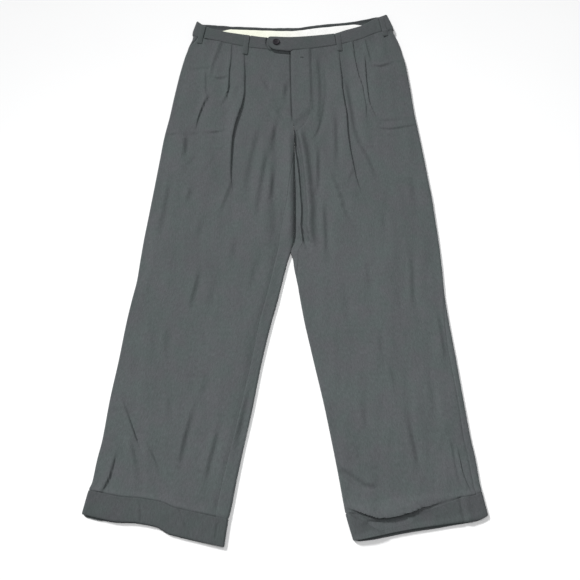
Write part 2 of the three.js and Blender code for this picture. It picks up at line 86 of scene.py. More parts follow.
LEFT = [
    (231, 990, 2, 939, 3.6, 7.0, 0.0, 1.0, 0.0, 0, 28, -14),
    (238, 955, 3, 911, 3.6, 7.1, 0.0, 0.8, 0.0, 0, 28, -12),
    (245, 925, 3, 877, 3.6, 7.1, 0.0, 0.5, 0.0, 0, 28, -8),
    (253, 885, 4, 839, 3.6, 7.0, 0.0, 0.2, 0.0, 0, 28, 3),
    (258, 831, 5, 794, 3.6, 6.9, 0.0, 0.1, 0.0, 0, 28, 28),
    (263, 777, 7, 750, 3.6, 6.8, 0.0, 0.0, 0.0, 0, 28, 28),
    (270, 722, 10, 710, 3.6, 6.6, 0.3, 0.0, 0.0, 4, 26, 26),
    (276, 670, 10, 670, 3.6, 6.4, 0.7, 0.0, 0.0, 13, 24, 24),
    (281, 624, 10, 624, 3.5, 6.2, 1.0, 0.0, 0.0, 17, 21, 21),
    (286, 579, 10, 579, 3.5, 6.0, 1.0, 0.0, 0.0, 19, 18, 18),
    (289, 535, 10, 535, 3.5, 5.9, 1.0, 0.0, 0.0, 18, 14, 14),
    (292, 492, 9.4, 492, 3.4, 5.8, 1.0, 0.0, 0.0, 20, 10, 10),
    (294, 446, 7, 446, 3.4, 5.7, 1.0, 0.0, 0.0, 11, 6, 6),
    (295, 409, 13, 407, 3.3, 5.6, 1.0, 0.0, 0.0, 2, 2, 2),
    (296, 368, 20, 364, 3.3, 5.5, 1.0, 0.0, 0.0, -5, -4, -4),
    (299, 329, 27, 325, 3.3, 5.4, 1.0, 0.0, 0.0, -6, -10, -10),
    (307, 252, 44, 247, 3.3, 5.3, 1.0, 0.0, 0.0, -6, -14, -14),
    (314, 179, 61, 170, 3.3, 5.2, 1.0, 0.0, 0.0, -6, -13, -13),
    (321, 111, 76, 92, 3.3, 5.2, 1.0, 0.0, 0.1, -6, -15, -15),
    (326, 77, 84, 48, 3.3, 5.3, 1.0, 0.0, 0.3, -6, -15, -15),
    (330, 33, 92, 0, 3.4, 5.6, 1.0, 0.0, 0.5, -6, -14, -14),
    (332, 20, 95, -16, 4.2, 7.6, 1.0, 0.0, 0.7, -6, -14, -14),
    (339, -18, 107, -59, 4.2, 7.6, 1.0, 0.0, 1.0, -6, -14, -14),
]
CUFF_TOP = 21
# how much fuller the laid cloth is than its plain solid, by row
PUFF = [(0, 2.6), (1, 2.0), (3, 1.6), (7, 1.9), (10, 2.3), (13, 2.0), (17, 1.8), (19, 1.8), (20, 1.4), (21, 0.4), (22, 0.2)]

SEAM_FRONT = [(-217, 977), (-200, 970), (-153, 959), (-98, 945), (-48, 938), (2, 935), (76, 945), (120, 954),
              (153, 964), (187, 980), (205, 986), (231, 990)]
TOP_FRONT = [(-207, 1015), (-187, 1000), (-150, 987), (-97, 977), (-48, 970), (0, 969), (61, 976), (99, 981),
             (121, 989), (159, 1002), (184, 1018), (216, 1033)]
SEAM_BACK = [(-217, 977), (-189, 968), (-111, 961), (0, 957), (67, 965), (133, 973), (185, 983), (231, 990)]
TOP_BACK = [(-207, 1015), (-189, 1008), (-111, 1001), (0, 997), (67, 1006), (133, 1014), (185, 1025), (216, 1033)]
TAB = [(-50, 958.5, 959.5), (-49.4, 955, 963), (-48, 950, 966.4), (-46.5, 946.5, 968.6), (-41, 939.5, 970.3),
       (-34, 935.5, 970.3), (-20, 933, 969.6), (-4, 932, 969), (4, 933.5, 969)]
# how far the outer edge of the cloth lies inside its plain solid, by row
PULL = {"right": [(0, 4.0), (1, 8.6), (2, 6.2), (3, 3.2), (4, 1.2), (5, 0), (20, 0), (21, -1.6), (22, -2.6)],
        "left": [(0, 5.6), (1, 8.8), (2, 6.2), (3, 3.2), (4, 1.6), (5, 0.8), (22, 0)]}
HEM_RIGHT = [(0, 0), (0.2, 0), (0.4, 7), (0.52, 8), (0.62, 1), (1, 0)]
HEM_LEFT = [(0, 0), (0.08, -5), (0.3, -2), (0.65, 1.5), (1, 0)]

# Folds. Each runs down the leg (or from right to left), so that its standing side is on its left as
# seen from the front: name, kind, (x, y, strength) along it.
KINDS = {
    #          rise  dip   ru   rd  sharp groove gw  over
    "pleat": (3.6, 2.8, 17.0, 19.0, 1.0, 1.1, 1.4, 1.5),
    "fold": (2.2, 1.8, 9.0, 11.0, 1.0, 0.6, 1.2, 0.6),
    "crease": (1.6, 1.7, 8.0, 9.0, 2.2, 0.35, 1.6, 0.0),
    "soft": (2.0, 3.0, 9.0, 10.0, 9.0, 0.0, 1.0, 0.0),
    "ridge": (1.6, 0.0, 9.0, 9.0, 40.0, 0.0, 1.0, 0.0),
    "billow": (3.7, 1.6, 16.0, 8.0, 1.0, 0.2, 1.6, 2.6),
}
FOLDS_RIGHT = [
    ("pleat", [(-100, 934, 0.2), (-98, 900, 0.35), (-97, 870, 0.5), (-97, 836, 0.6), (-101, 804, 0.85), (-109, 774, 1.0),
               (-115, 750, 1.05), (-120, 714, 1.1), (-121, 668, 0.95), (-120, 633, 0.6), (-115, 600, 0.0)]),
    ("crease", [(-118, 622, 0.0), (-121, 606, 0.9), (-130, 577, 0.9), (-147, 532, 0.0)]),
    ("crease", [(-114, 612, 0.0), (-116, 602, 0.5), (-121, 575, 0.0)]),
    ("fold", [(-127, 946, 0.35), (-128, 913, 0.6), (-131, 874, 0.8), (-131, 845, 1.15), (-136, 819, 0.8), (-146, 798, 0.0)]),
    ("soft", [(-114, 852, 0.0), (-116, 835, 1.0), (-119, 800, 0.0)]),
    ("crease", [(-151, 951, 0.9), (-159, 926, 1.0), (-166, 900, 0.8), (-170, 872, 0.5), (-171, 862, 0.0)]),
    ("crease", [(-132, 871, 0.0), (-140, 869, 0.8), (-154, 866, 0.9), (-170, 872, 0.4), (-176, 876, 0.0)]),
    ("crease", [(-165, 896, 0.0), (-180, 893, 0.5), (-205, 891, 0.5), (-232, 895, 0.0)]),
    ("crease", [(-181, 896, 0.0), (-181, 880, 0.6), (-179, 836, 0.6), (-175, 816, 0.4), (-174, 808, 0.0)]),
    ("fold", [(-171, 826, 0.0), (-176, 815, 0.8), (-187, 787, 0.9), (-194, 757, 0.6), (-196, 735, 0.0)]),
    ("crease", [(-186, 728, 0.0), (-196, 730, 0.6), (-212, 731, 0.0)]),
    ("crease", [(-132, 738, 0.0), (-148, 734, 0.7), (-165, 732, 0.7), (-188, 733, 0.0)]),
    ("crease", [(-226, 729, 0.0), (-240, 729, 0.6), (-259, 729, 0.2)]),
    ("soft", [(-228, 729, 0.3), (-216, 718, 1.3), (-216, 695, 1.3), (-218, 664, 0.0)]),
    ("soft", [(-66, 872, 0.0), (-52, 848, 1.2), (-38, 824, 0.0)]),
    ("soft", [(-34, 793, 0.0), (-24, 778, 1.3), (-11, 762, 0.0)]),
    ("soft", [(-8, 866, 0.0), (-10, 840, 1.2), (-15, 785, 0.0)]),
    ("soft", [(-64, 755, 0.0), (-72, 715, 1.2), (-82, 660, 1.2), (-87, 626, 0.9), (-91, 555, 0.0)]),
    ("soft", [(-46, 700, 0.0), (-53, 660, 1.3), (-60, 610, 1.3), (-66, 560, 1.0), (-69, 505, 0.0)]),
    ("soft", [(-33, 660, 0.0), (-36, 620, 1.2), (-38, 590, 1.0), (-40, 560, 0.0)]),
    ("soft", [(-27, 775, 0.0), (-33, 735, 1.2), (-43, 675, 0.0)]),
    ("crease", [(-154, 682, 0.0), (-160, 668, 0.4), (-170, 648, 0.4), (-182, 630, 0.0)]),
    ("soft", [(-174, 545, 0.0), (-179, 515, 1.2), (-184, 470, 0.0)]),
    ("soft", [(-196, 615, 0.0), (-202, 592, 1.0), (-211, 556, 0.0)]),
    ("soft", [(-193, 684, 0.0), (-204, 665, 0.8), (-216, 645, 0.0)]),
    ("soft", [(-172, 455, 0.0), (-178, 407, 1.0), (-186, 370, 0.9), (-194, 322, 0.0)]),
    ("soft", [(-226, 330, 0.0), (-230, 290, 0.9), (-228, 238, 0.0)]),
    ("soft", [(-226, 215, 0.0), (-219, 172, 0.9), (-216, 124, 0.0)]),
    ("fold", [(-307, 192, 0.0), (-299, 172, 0.5), (-290, 151, 0.9), (-279, 125, 1.0), (-268, 99, 0.8), (-258, 72, 0.0)]),
    ("crease", [(-265, 124, 0.0), (-254, 104, 0.9), (-246, 90, 1.0), (-234, 68, 0.8), (-224, 36, 0.0)]),
    ("soft", [(-287, 120, 0.0), (-279, 96, 1.3), (-271, 73, 1.3), (-262, 34, 0.9), (-256, 6, 0.0)]),
    ("fold", [(-304, 88, 0.0), (-308, 74, 0.7), (-313, 48, 1.0), (-322, 26, 0.7), (-330, 10, 0.0)]),
    ("crease", [(-301, 162, 0.0), (-314, 162, 0.5), (-330, 163, 0.0)]),
    ("soft", [(-70, 225, 0.0), (-80, 175, 1.0), (-92, 120, 1.0), (-104, 64, 0.0)]),
    ("soft", [(-240, 640, 0.0), (-246, 600, 0.8), (-252, 540, 0.8), (-258, 470, 0.0)]),
    ("soft", [(-140, 430, 0.0), (-150, 380, 0.7), (-158, 320, 0.0)]),
    ("soft", [(-100, 520, 0.0), (-112, 470, 0.7), (-122, 410, 0.0)]),
    ("soft", [(-262, 450, 0.0), (-270, 400, 0.7), (-276, 340, 0.0)]),
    ("soft", [(-150, 250, 0.0), (-158, 200, 0.7), (-166, 140, 0.0)]),
    ("soft", [(-168, 190, 0.0), (-182, 130, 1.2), (-190, 90, 1.2), (-196, 40, 0.0)]),
    ("soft", [(-122, 165, 0.0), (-134, 100, 1.2), (-144, 55, 1.0), (-148, 12, 0.0)]),
    ("soft", [(-60, 470, 0.0), (-72, 420, 0.8), (-84, 360, 0.0)]),
]
FOLDS_LEFT = [
    ("pleat", [(107, 938, 0.15), (108, 913, 0.35), (110, 874, 0.7), (111, 836, 0.85), (114, 809, 0.95), (118, 774, 1.0),
               (119, 738, 1.0), (122, 703, 0.95), (127, 668, 0.8), (132, 640, 0.6), (137, 618, 0.4), (146, 585, 0.0)]),
    ("soft", [(118, 872, 0.0), (123, 840, 1.6), (128, 799, 2.0), (134, 743, 1.8), (143, 707, 1.4), (160, 665, 0.0)]),
    ("crease", [(130, 650, 0.0), (126, 638, 0.7), (121, 626, 0.6), (115, 608, 0.0)]),
    ("fold", [(138, 951, 0.7), (141, 913, 0.9), (148, 874, 0.9), (154, 849, 0.9), (157, 824, 0.7), (161, 787, 0.6), (161, 758, 0.0)]),
    ("fold", [(162, 930, 0.0), (163, 905, 0.8), (163, 874, 1.1), (165, 836, 1.1), (167, 811, 1.1), (173, 791, 0.9), (183, 767, 0.0)]),
    ("crease", [(166, 956, 0.8), (172, 926, 0.9), (176, 908, 0.5), (178, 898, 0.0)]),
    ("crease", [(228, 909, 0.0), (212, 903, 0.7), (194, 897, 0.9), (180, 899, 0.6), (174, 905, 0.0)]),
    ("fold", [(268, 752, 0.1), (250, 748, 0.4), (233, 745, 0.55), (208, 741, 0.5), (190, 743, 0.4), (172, 756, 0.25), (160, 769, 0.0)]),
    ("crease", [(230, 762, 0.0), (215, 762, 0.5), (196, 762, 0.5), (180, 762, 0.0)]),
    ("crease", [(228, 726, 0.0), (215, 726, 0.4), (193, 726, 0.0)]),
    ("fold", [(84, 645, 0.0), (89, 625, 0.7), (97, 599, 0.9), (106, 566, 0.9), (111, 544, 0.6), (131, 512, 0.0)]),
    ("crease", [(70, 905, 0.0), (72, 885, 0.9), (75, 856, 1.0), (74, 824, 0.9), (69, 784, 0.9), (58, 738, 0.8), (43, 708, 0.0)]),
    ("soft", [(58, 930, 0.0), (61, 900, 1.1), (64, 860, 1.2), (64, 824, 1.2), (61, 774, 1.1), (50, 728, 0.0)]),
    ("soft", [(53, 715, 0.0), (57, 675, 1.3), (57, 630, 1.3), (51, 565, 0.0)]),
    ("soft", [(65, 590, 0.0), (69, 540, 1.3), (70, 490, 1.3), (70, 425, 0.0)]),
    ("soft", [(92, 800, 0.0), (95, 750, 1.3), (95, 700, 1.3), (90, 628, 0.0)]),
    ("soft", [(142, 722, 0.0), (152, 692, 1.0), (165, 655, 1.0), (180, 605, 0.0)]),
    ("soft", [(180, 560, 0.0), (184, 530, 0.8), (188, 496, 0.0)]),
    ("soft", [(226, 818, 0.0), (243, 809, 0.7), (262, 803, 0.0)]),
    ("soft", [(232, 505, 0.0), (235, 440, 1.0), (233, 380, 1.0), (238, 320, 0.0)]),
    ("soft", [(177, 262, 0.0), (186, 225, 0.9), (196, 162, 0.0)]),
    ("soft", [(124, 195, 0.0), (132, 152, 0.9), (139, 92, 0.0)]),
    ("soft", [(160, 30, 0.0), (146, 29, 0.8), (132, 32, 1.3), (118, 40, 1.5), (104, 51, 1.5), (90, 59, 0.9), (78, 63, 0.3)]),
    ("billow", [(262, 4, 0.0), (245, -1, 0.7), (228, -4, 1.0), (205, -11, 1.7), (179, -16, 2.1), (153, -19, 2.1), (128, -14, 1.5), (104, -8, 0.4)]),
    ("fold", [(295, 96, 0.0), (297, 80, 0.8), (300, 56, 1.0), (307, 34, 0.7), (312, 22, 0.2)]),
    ("crease", [(284, 120, 0.0), (286, 90, 0.7), (289, 60, 0.7), (294, 30, 0.2)]),
    ("soft", [(275, 380, 0.0), (280, 330, 0.9), (285, 270, 0.9), (288, 220, 0.0)]),
    ("soft", [(240, 660, 0.0), (246, 600, 0.8), (250, 540, 0.0)]),
    ("soft", [(140, 480, 0.0), (148, 430, 0.7), (152, 370, 0.0)]),
    ("soft", [(96, 420, 0.0), (104, 360, 0.8), (112, 290, 0.0)]),
    ("soft", [(200, 420, 0.0), (206, 360, 0.6), (210, 290, 0.0)]),
    ("soft", [(160, 330, 0.0), (168, 280, 0.7), (176, 210, 0.0)]),
    ("soft", [(250, 250, 0.0), (256, 190, 0.8), (262, 120, 0.0)]),
    ("soft", [(206, 175, 0.0), (214, 120, 1.1), (220, 80, 1.1), (224, 40, 0.0)]),
    ("soft", [(110, 120, 0.0), (118, 90, 0.8), (124, 66, 0.0)]),
]


# ------------------------------------------------------------------ small maths
def smooth(v):
    t = np.clip(v, 0.0, 1.0)
    return t * t * (3 - 2 * t)


def lerp(a, b, t):
    return a + (b - a) * t


def slopes(x, y):
    """Slopes of a curve through the points that never overshoots them."""
    h, d = np.diff(x), np.diff(y) / np.diff(x)
    m = np.zeros_like(y)
    w1, w2 = 2 * h[1:] + h[:-1], h[1:] + 2 * h[:-1]
    same = d[:-1] * d[1:] > 0
    safe0, safe1 = np.where(same, d[:-1], 1.0), np.where(same, d[1:], 1.0)
    m[1:-1] = np.where(same, (w1 + w2) / (w1 / safe0 + w2 / safe1), 0.0)
    m[0], m[-1] = d[0], d[-1]
    return m


def through(points, x):
    """A smooth curve through (x, y) points, level beyond its ends."""
    p = np.array(points, float)
    xs, ys = p[:, 0], p[:, 1]
    m = slopes(xs, ys)
    x = np.clip(x, xs[0], xs[-1])
    i = np.clip(np.searchsorted(xs, x, side="right") - 1, 0, len(xs) - 2)
    h = xs[i + 1] - xs[i]
    t = (x - xs[i]) / h
    return ((1 + 2 * t) * (1 - t) ** 2 * ys[i] + t * (1 - t) ** 2 * h * m[i]
            + t * t * (3 - 2 * t) * ys[i + 1] + t * t * (t - 1) * h * m[i + 1])


def noise(x, y, seed, sx, sy):
    """Smooth noise from -1 to 1, its cells sx by sy mm."""
    rng = np.random.RandomState(seed)
    grid = rng.rand(64, 64) * 2 - 1
    u, v = np.asarray(x) / sx + 31.7, np.asarray(y) / sy + 17.3
    i, j = np.floor(u).astype(int), np.floor(v).astype(int)
    fu, fv = smooth(u - i), smooth(v - j)
    g = lambda a, b: grid[a % 64, b % 64]
    return lerp(lerp(g(i, j), g(i + 1, j), fu), lerp(g(i, j + 1), g(i + 1, j + 1), fu), fv)


class Fold:
    def __init__(self, kind, points, scale=1.0):
        self.rise, self.dip, self.ru, self.rd, self.sharp, self.groove, self.gw, self.over = KINDS[kind]
        p = np.array(points, float)
        seg = np.hypot(*np.diff(p[:, :2], axis=0).T)
        s = np.concatenate([[0], np.cumsum(seg)])
        n = max(4, int(s[-1] / 2.5))
        t = np.linspace(0, s[-1], n)
        self.q = np.stack([through(np.stack([s, p[:, k]], 1), t) for k in (0, 1)], 1)
        self.amp = np.clip(np.interp(t, s, p[:, 2]), 0, None) * scale
        k = np.ones(5) / 5
        if n > 6:
            self.amp = np.convolve(np.pad(self.amp, 2, mode="edge"), k, "valid")
        d = np.gradient(self.q, axis=0)
        self.d = d / np.linalg.norm(d, axis=1, keepdims=True)
        reach = max(self.ru, self.rd) * 2.6
        self.lo, self.hi = self.q.min(0) - reach, self.q.max(0) + reach

    def add(self, x, y, dz, dx, dy):
        near = (x > self.lo[0]) & (x < self.hi[0]) & (y > self.lo[1]) & (y < self.hi[1])
        idx = np.flatnonzero(near)
        if not len(idx):
            return
        for part in np.array_split(idx, max(1, len(idx) * len(self.q) // 3000000 + 1)):
            px, py = x[part], y[part]
            far = (px[:, None] - self.q[:, 0]) ** 2 + (py[:, None] - self.q[:, 1]) ** 2
            k = far.argmin(1)
            rx, ry = px - self.q[k, 0], py - self.q[k, 1]
            tx, ty = self.d[k, 0], self.d[k, 1]
            s, along = tx * ry - ty * rx, tx * rx + ty * ry
            f = self.amp[k] * np.exp(-(np.maximum(np.abs(along) - 2.0, 0) / 7.0) ** 2)
            side = 1 / (1 + np.exp(-np.clip(s / (0.28 * self.sharp * (1 + 2.2 * np.clip(0.9 - f, 0, 1))), -40, 40)))
            dz[part] += f * ((1 - side) * self.rise * np.exp(-((s / self.ru) ** 2))
                             - side * self.dip * np.exp(-((s / self.rd) ** 2))
                             - self.groove * np.exp(-(((s - 0.3 * self.gw) / self.gw) ** 2)))
            if self.over:
                # the standing side leans over the line
                if self.over > 2:
                    push = self.over * f * (1 - side) * np.exp(-((s / 4.5) ** 2))
                else:
                    push = self.over * f * (np.exp(-(((s + 0.7) / 1.1) ** 2)) * 0.9 - 0.35 * np.exp(-(((s - 1.0) / 1.0) ** 2)))
                dx[part] += push * -ty
                dy[part] += push * tx


def relief(folds, x, y):
    shape = x.shape
    x, y = x.ravel(), y.ravel()
    dz, dx, dy = np.zeros_like(x), np.zeros_like(x), np.zeros_like(x)
    for f in folds:
        f.add(x, y, dz, dx, dy)
    return dz.reshape(shape), dx.reshape(shape), dy.reshape(shape)


# ------------------------------------------------------------------ a leg as a flattened tube
class Leg:
    def __init__(self, rows, sign, hem, folds, pull):
        self.t = np.array(rows, float)
        self.t[:, 0] -= sign * np.interp(np.arange(len(rows)), *zip(*pull))
        self.t[:3, 4] = [4.9, 4.3, 3.8]      # the sides stand up to meet the waistband
        if sign > 0:
            self.t[5:12, 2] = [8.0, 9.15, 9.1, 9.1, 9.1, 9.1, 8.4]     # the legs touch below the fork
        k = np.arange(len(rows), dtype=float)
        self.m = np.stack([slopes(k, self.t[:, c]) for c in range(self.t.shape[1])], 1)
        self.sign, self.hem, self.folds = sign, hem, [Fold(*f) for f in folds]

    def row(self, v):
        v = np.atleast_1d(np.asarray(v, float))
        i = np.clip(np.floor(v).astype(int), 0, len(self.t) - 2)
        t = (v - i)[:, None]
        a, b, m, n = self.t[i], self.t[i + 1], self.m[i], self.m[i + 1]
        y = (1 + 2 * t) * (1 - t) ** 2 * a + t * (1 - t) ** 2 * m + t * t * (3 - 2 * t) * b + t * t * (t - 1) * n
        row = {c: y[:, k:k + 1].copy() for k, c in enumerate(COLUMNS)}
        if self.sign > 0:      # this leg bulges against the other at the foot of the fork
            row["ix"] -= 6.0 * np.exp(-(((v[:, None] - 11.52) / 0.30) ** 2))
        row["v"] = v[:, None]
        row["mid"] = row["mid"] + np.interp(v, *zip(*PUFF))[:, None]
        dx, dy = row["ox"] - row["ix"], row["oy"] - row["iy"]
        W = np.hypot(dx, dy)
        th = row["roll"] * math.pi / 2
        row.update(W=W, ex=dx / W, ey=dy / W, th=th, a1=row["r"] * th, flat=W - row["r"] * np.sin(th) - row["r"])
        row["L"] = row["a1"] + row["flat"] + row["r"] * math.pi / 2
        return row

    def section(self, row, a, off=0.0, straight=False):
        """x, y, z and what lies underneath, at arc a from the inner edge over the top."""
        r, W, th, a1, flat, L = (row[k] for k in ("r", "W", "th", "a1", "flat", "L"))
        aa = np.where(a > 2 * L, a - 2 * L, a)
        under = (aa > L) | (aa < 0)
        ahead = straight & (aa < 0) & (row["roll"] < 0.02)     # runs straight on instead of turning under
        under = under & ~ahead
        b = np.where(aa > L, 2 * L - aa, np.abs(aa))
        ph1, ph2 = th - b / r, (b - a1 - flat) / r
        inner, outer = b < a1, b > a1 + flat
        u = np.where(inner, r * np.sin(th) - r * np.sin(ph1), np.where(outer, W - r + r * np.sin(ph2), r * np.sin(th) + b - a1))
        z = np.where(inner, r + r * np.cos(ph1), np.where(outer, r + r * np.cos(ph2), 2 * r))
        nx = np.where(inner, -np.sin(ph1), np.where(outer, np.sin(ph2), 0.0))
        nz = np.where(inner, np.cos(ph1), np.where(outer, np.cos(ph2), 1.0))
        u = np.where(ahead, aa, u)
        z = np.where(ahead, 2 * r, z)
        v = row["v"]
        # between the thighs the cloth of the wearer's right stands up beside the line where the legs meet
        steep = smooth((v - 5.6) / 1.0) * smooth((12.2 - v) / 2.0) if self.sign < 0 else 0 * v
        w = smooth((W - u) / 46.0) * np.where(row["roll"] > 0, lerp(1.0, smooth(u / lerp(46.0, 9.0, steep)), row["roll"]), 1.0)
        z = np.where(under, 2 * r - z, z + (row["mid"] - 2 * r) * w)
        nz = np.where(under, -nz, nz)
        u, z = u + nx * off, z + nz * off
        x, y = row["ix"] + row["ex"] * u, row["iy"] + row["ey"] * u
        line = row["iy"] + row["ey"] * np.clip(u, 0, W)
        seam = np.where(under, through(SEAM_BACK, x), through(SEAM_FRONT, x))
        y = y + row["wst"] * (seam - line) + row["hem"] * through(self.hem, np.clip(1 - u / W, 0, 1))
        return x, y, z, under, u

    def fold_a(self, row, line):
        """arc of a fold line in each row; below its foot it keeps its share of the width."""
        p = np.array(line, float)[::-1]
        y = (row["oy"] + row["iy"]) / 2
        foot = p[0]
        rows = self.row(np.linspace(0, 22, 400))
        k = np.abs((rows["oy"] + rows["iy"])[:, 0] / 2 - foot[1]).argmin()
        share = (foot[0] - rows["ix"][k, 0]) / (rows["ox"][k, 0] - rows["ix"][k, 0])
        x = np.where(y > foot[1], through(p[:, ::-1], y), row["ix"] + share * (row["ox"] - row["ix"]))
        return row["a1"] + (x - row["ix"]) / row["ex"] - row["r"] * np.sin(row["th"])


LINES = {
    "right": {
        "A": [(-100, 930), (-97, 887), (-97, 836), (-101, 804), (-109, 774), (-115, 750), (-120, 714), (-121, 668), (-120, 633), (-115, 600)],
        "B": [(-127, 944), (-128, 913), (-131, 874), (-131, 841), (-136, 819), (-144, 804)],
        "C": [(-151, 949), (-159, 926), (-166, 900), (-172, 872), (-176, 815), (-187, 787), (-194, 757), (-196, 735)],
    },
    "left": {
        "A": [(107, 925), (110, 874), (111, 836), (114, 809), (118, 774), (119, 738), (122, 703), (127, 668), (132, 640), (141, 599)],
        "B": [(138, 947), (141, 913), (148, 874), (154, 849), (157, 824), (161, 787)],
        "C": [(164, 930), (164, 874), (166, 836), (168, 811), (173, 791), (180, 772)],
    },
}
LEGS = {"right": Leg(RIGHT, -1, HEM_RIGHT, FOLDS_RIGHT, PULL["right"]), "left": Leg(LEFT, 1, HEM_LEFT, FOLDS_LEFT, PULL["left"])}


# ------------------------------------------------------------------ meshes
def to_frame(p):
    return (np.asarray(p, float) + SHIFT) * 0.001


def make_mesh(name, verts, quads, tris, uv=None, lay=None, attrs=None, material=None, sharp=50.0):
    """A mesh object from arrays in frame metres. uv and lay are maps per corner of quads, then tris."""
    quads, tris = np.asarray(quads, np.int32).reshape(-1, 4), np.asarray(tris, np.int32).reshape(-1, 3)
    # faces point outwards
    t = np.concatenate([quads[:, [0, 1, 2]], quads[:, [0, 2, 3]], tris])
    vol = np.einsum("ij,ij->i", verts[t[:, 0]], np.cross(verts[t[:, 1]], verts[t[:, 2]])).sum()
    flip = vol < 0
    if flip:
        quads, tris = quads[:, ::-1], tris[:, ::-1]
    me = bpy.data.meshes.new(name)
    nq, nt = len(quads), len(tris)
    me.vertices.add(len(verts))
    me.vertices.foreach_set("co", np.ascontiguousarray(verts, np.float32).ravel())
    me.loops.add(nq * 4 + nt * 3)
    me.polygons.add(nq + nt)
    me.loops.foreach_set("vertex_index", np.concatenate([quads.ravel(), tris.ravel()]).astype(np.int32))
    starts = np.concatenate([np.arange(nq) * 4, nq * 4 + np.arange(nt) * 3]).astype(np.int32)
    me.polygons.foreach_set("loop_start", starts)
    me.update(calc_edges=True)
    me.polygons.foreach_set("use_smooth", np.ones(nq + nt, bool))
    for title, values in (("cloth", uv), ("OFBake", lay)):
        if values is None:
            continue
        q, r = values
        q, r = np.asarray(q, float).reshape(-1, 4, 2), np.asarray(r, float).reshape(-1, 3, 2)
        if flip:
            q, r = q[:, ::-1], r[:, ::-1]
        layer = me.uv_layers.new(name=title)
        layer.uv.foreach_set("vector", np.concatenate([q.reshape(-1, 2), r.reshape(-1, 2)]).astype(np.float32).ravel())
    for title, values in (attrs or {}).items():
        at = me.attributes.new(title, "FLOAT", "POINT")
        at.data.foreach_set("value", np.asarray(values, np.float32))
    me.validate()
    me.set_sharp_from_angle(angle=math.radians(sharp))
    ob = bpy.data.objects.new(name, me)
    bpy.context.scene.collection.objects.link(ob)
    if material is not None:
        me.materials.append(material)
    return ob


def strip(near, far, k):
    """Triangles between a fine edge (near, k times as many steps) and a coarse one (far)."""
    out = []
    for j in range(len(far) - 1):
        f0, f1, m = far[j], far[j + 1], k // 2
        for i in range(k):
            out.append((near[j * k + i], near[j * k + i + 1], f0 if i < m else f1))
        out.append((near[j * k + m], f1, f0))
    return out


def shell(name, outer, inner, kr=1, kc=1, ring=False, uv=None, material=None, attrs=None, sharp=50.0):
    """A closed shell: outer is the fine face (rows, columns, 3) in mm, inner the coarser one behind it."""
    R, C = outer.shape[:2]
    Ri, Ci = inner.shape[:2]
    assert (R - 1) == kr * (Ri - 1), (name, R, Ri, kr)
    if ring:
        assert C == kc * Ci, (name, C, Ci)
    else:
        assert (C - 1) == kc * (Ci - 1), (name, C, Ci, kc)
    verts = to_frame(np.concatenate([outer.reshape(-1, 3), inner.reshape(-1, 3)]))
    J, Ji = (C, Ci) if ring else (C - 1, Ci - 1)
    i, j = np.meshgrid(np.arange(R - 1), np.arange(J), indexing="ij")
    o = lambda a, b: a * C + b % C
    n = lambda a, b: R * C + a * Ci + b % Ci
    q1 = np.stack([o(i, j), o(i + 1, j), o(i + 1, j + 1), o(i, j + 1)], -1).reshape(-1, 4)
    ii, jj = np.meshgrid(np.arange(Ri - 1), np.arange(Ji), indexing="ij")
    q2 = np.stack([n(ii, jj), n(ii, jj + 1), n(ii + 1, jj + 1), n(ii + 1, jj)], -1).reshape(-1, 4)
    tris = []
    cols, colsi = (np.arange(C + 1) % C, np.arange(Ci + 1) % Ci) if ring else (np.arange(C), np.arange(Ci))
    tris += strip([o(0, c) for c in cols], [n(0, c) for c in colsi], kc)
    tris += strip([o(R - 1, c) for c in cols[::-1]], [n(Ri - 1, c) for c in colsi[::-1]], kc)
    if not ring:
        tris += strip([o(r, 0) for r in range(R)][::-1], [n(r, 0) for r in range(Ri)][::-1], kr)
        tris += strip([o(r, C - 1) for r in range(R)], [n(r, Ci - 1) for r in range(Ri)], kr)
    tris = np.array(tris)
    # maps: the cloth's own metres, and a layout of both faces side by side
    if uv is None:
        uv = np.stack(np.meshgrid(np.arange(R), np.arange(C + 1), indexing="ij")[::-1], -1) * 0.002
    cu = uv.shape[1]
    at = lambda a, b: uv[a, np.minimum(b, cu - 1)]
    U1 = np.stack([at(i, j), at(i + 1, j), at(i + 1, j + 1), at(i, j + 1)], 2).reshape(-1, 4, 2)
    a2, b2 = ii * kr, jj * kc
    U2 = np.stack([at(a2, b2), at(a2, b2 + kc), at(a2 + kr, b2 + kc), at(a2 + kr, b2)], 2).reshape(-1, 4, 2)
    vr = np.concatenate([np.repeat(np.arange(R), C), np.repeat(np.arange(Ri) * kr, Ci)])
    vc = np.concatenate([np.tile(np.arange(C), R), np.tile(np.arange(Ci) * kc, Ri)])
    U3 = at(vr[tris], vc[tris])
    lo, hi = uv.reshape(-1, 2).min(0), uv.reshape(-1, 2).max(0)
    fit = lambda w, half: np.stack([0.01 + 0.98 * ((w[..., 0] - lo[0]) / (hi[0] - lo[0])) * 0.485 + half * 0.505,
                                    0.01 + 0.98 * (w[..., 1] - lo[1]) / (hi[1] - lo[1])], -1)
    lay = (np.concatenate([fit(U1, 0), fit(U2, 1)]), fit(U3, 0))
    every = {k: np.concatenate([v.ravel(), v[::kr, ::kc].ravel()[: Ri * Ci]]) for k, v in (attrs or {}).items()}
    return make_mesh(name, verts, np.concatenate([q1, q2]), tris, (np.concatenate([U1, U2]), U3), lay, every, material, sharp)


def min_filter(z, n):
    """Lowest value within n columns and n rows."""
    out = z.copy()
    for axis in (0, 1):
        src = out.copy()
        for k in range(1, n + 1):
            a, b = [slice(None)] * 2, [slice(None)] * 2
            a[axis], b[axis] = slice(k, None), slice(None, -k)
            out[tuple(b)] = np.minimum(out[tuple(b)], src[tuple(a)])
            out[tuple(a)] = np.minimum(out[tuple(a)], src[tuple(b)])
    return out


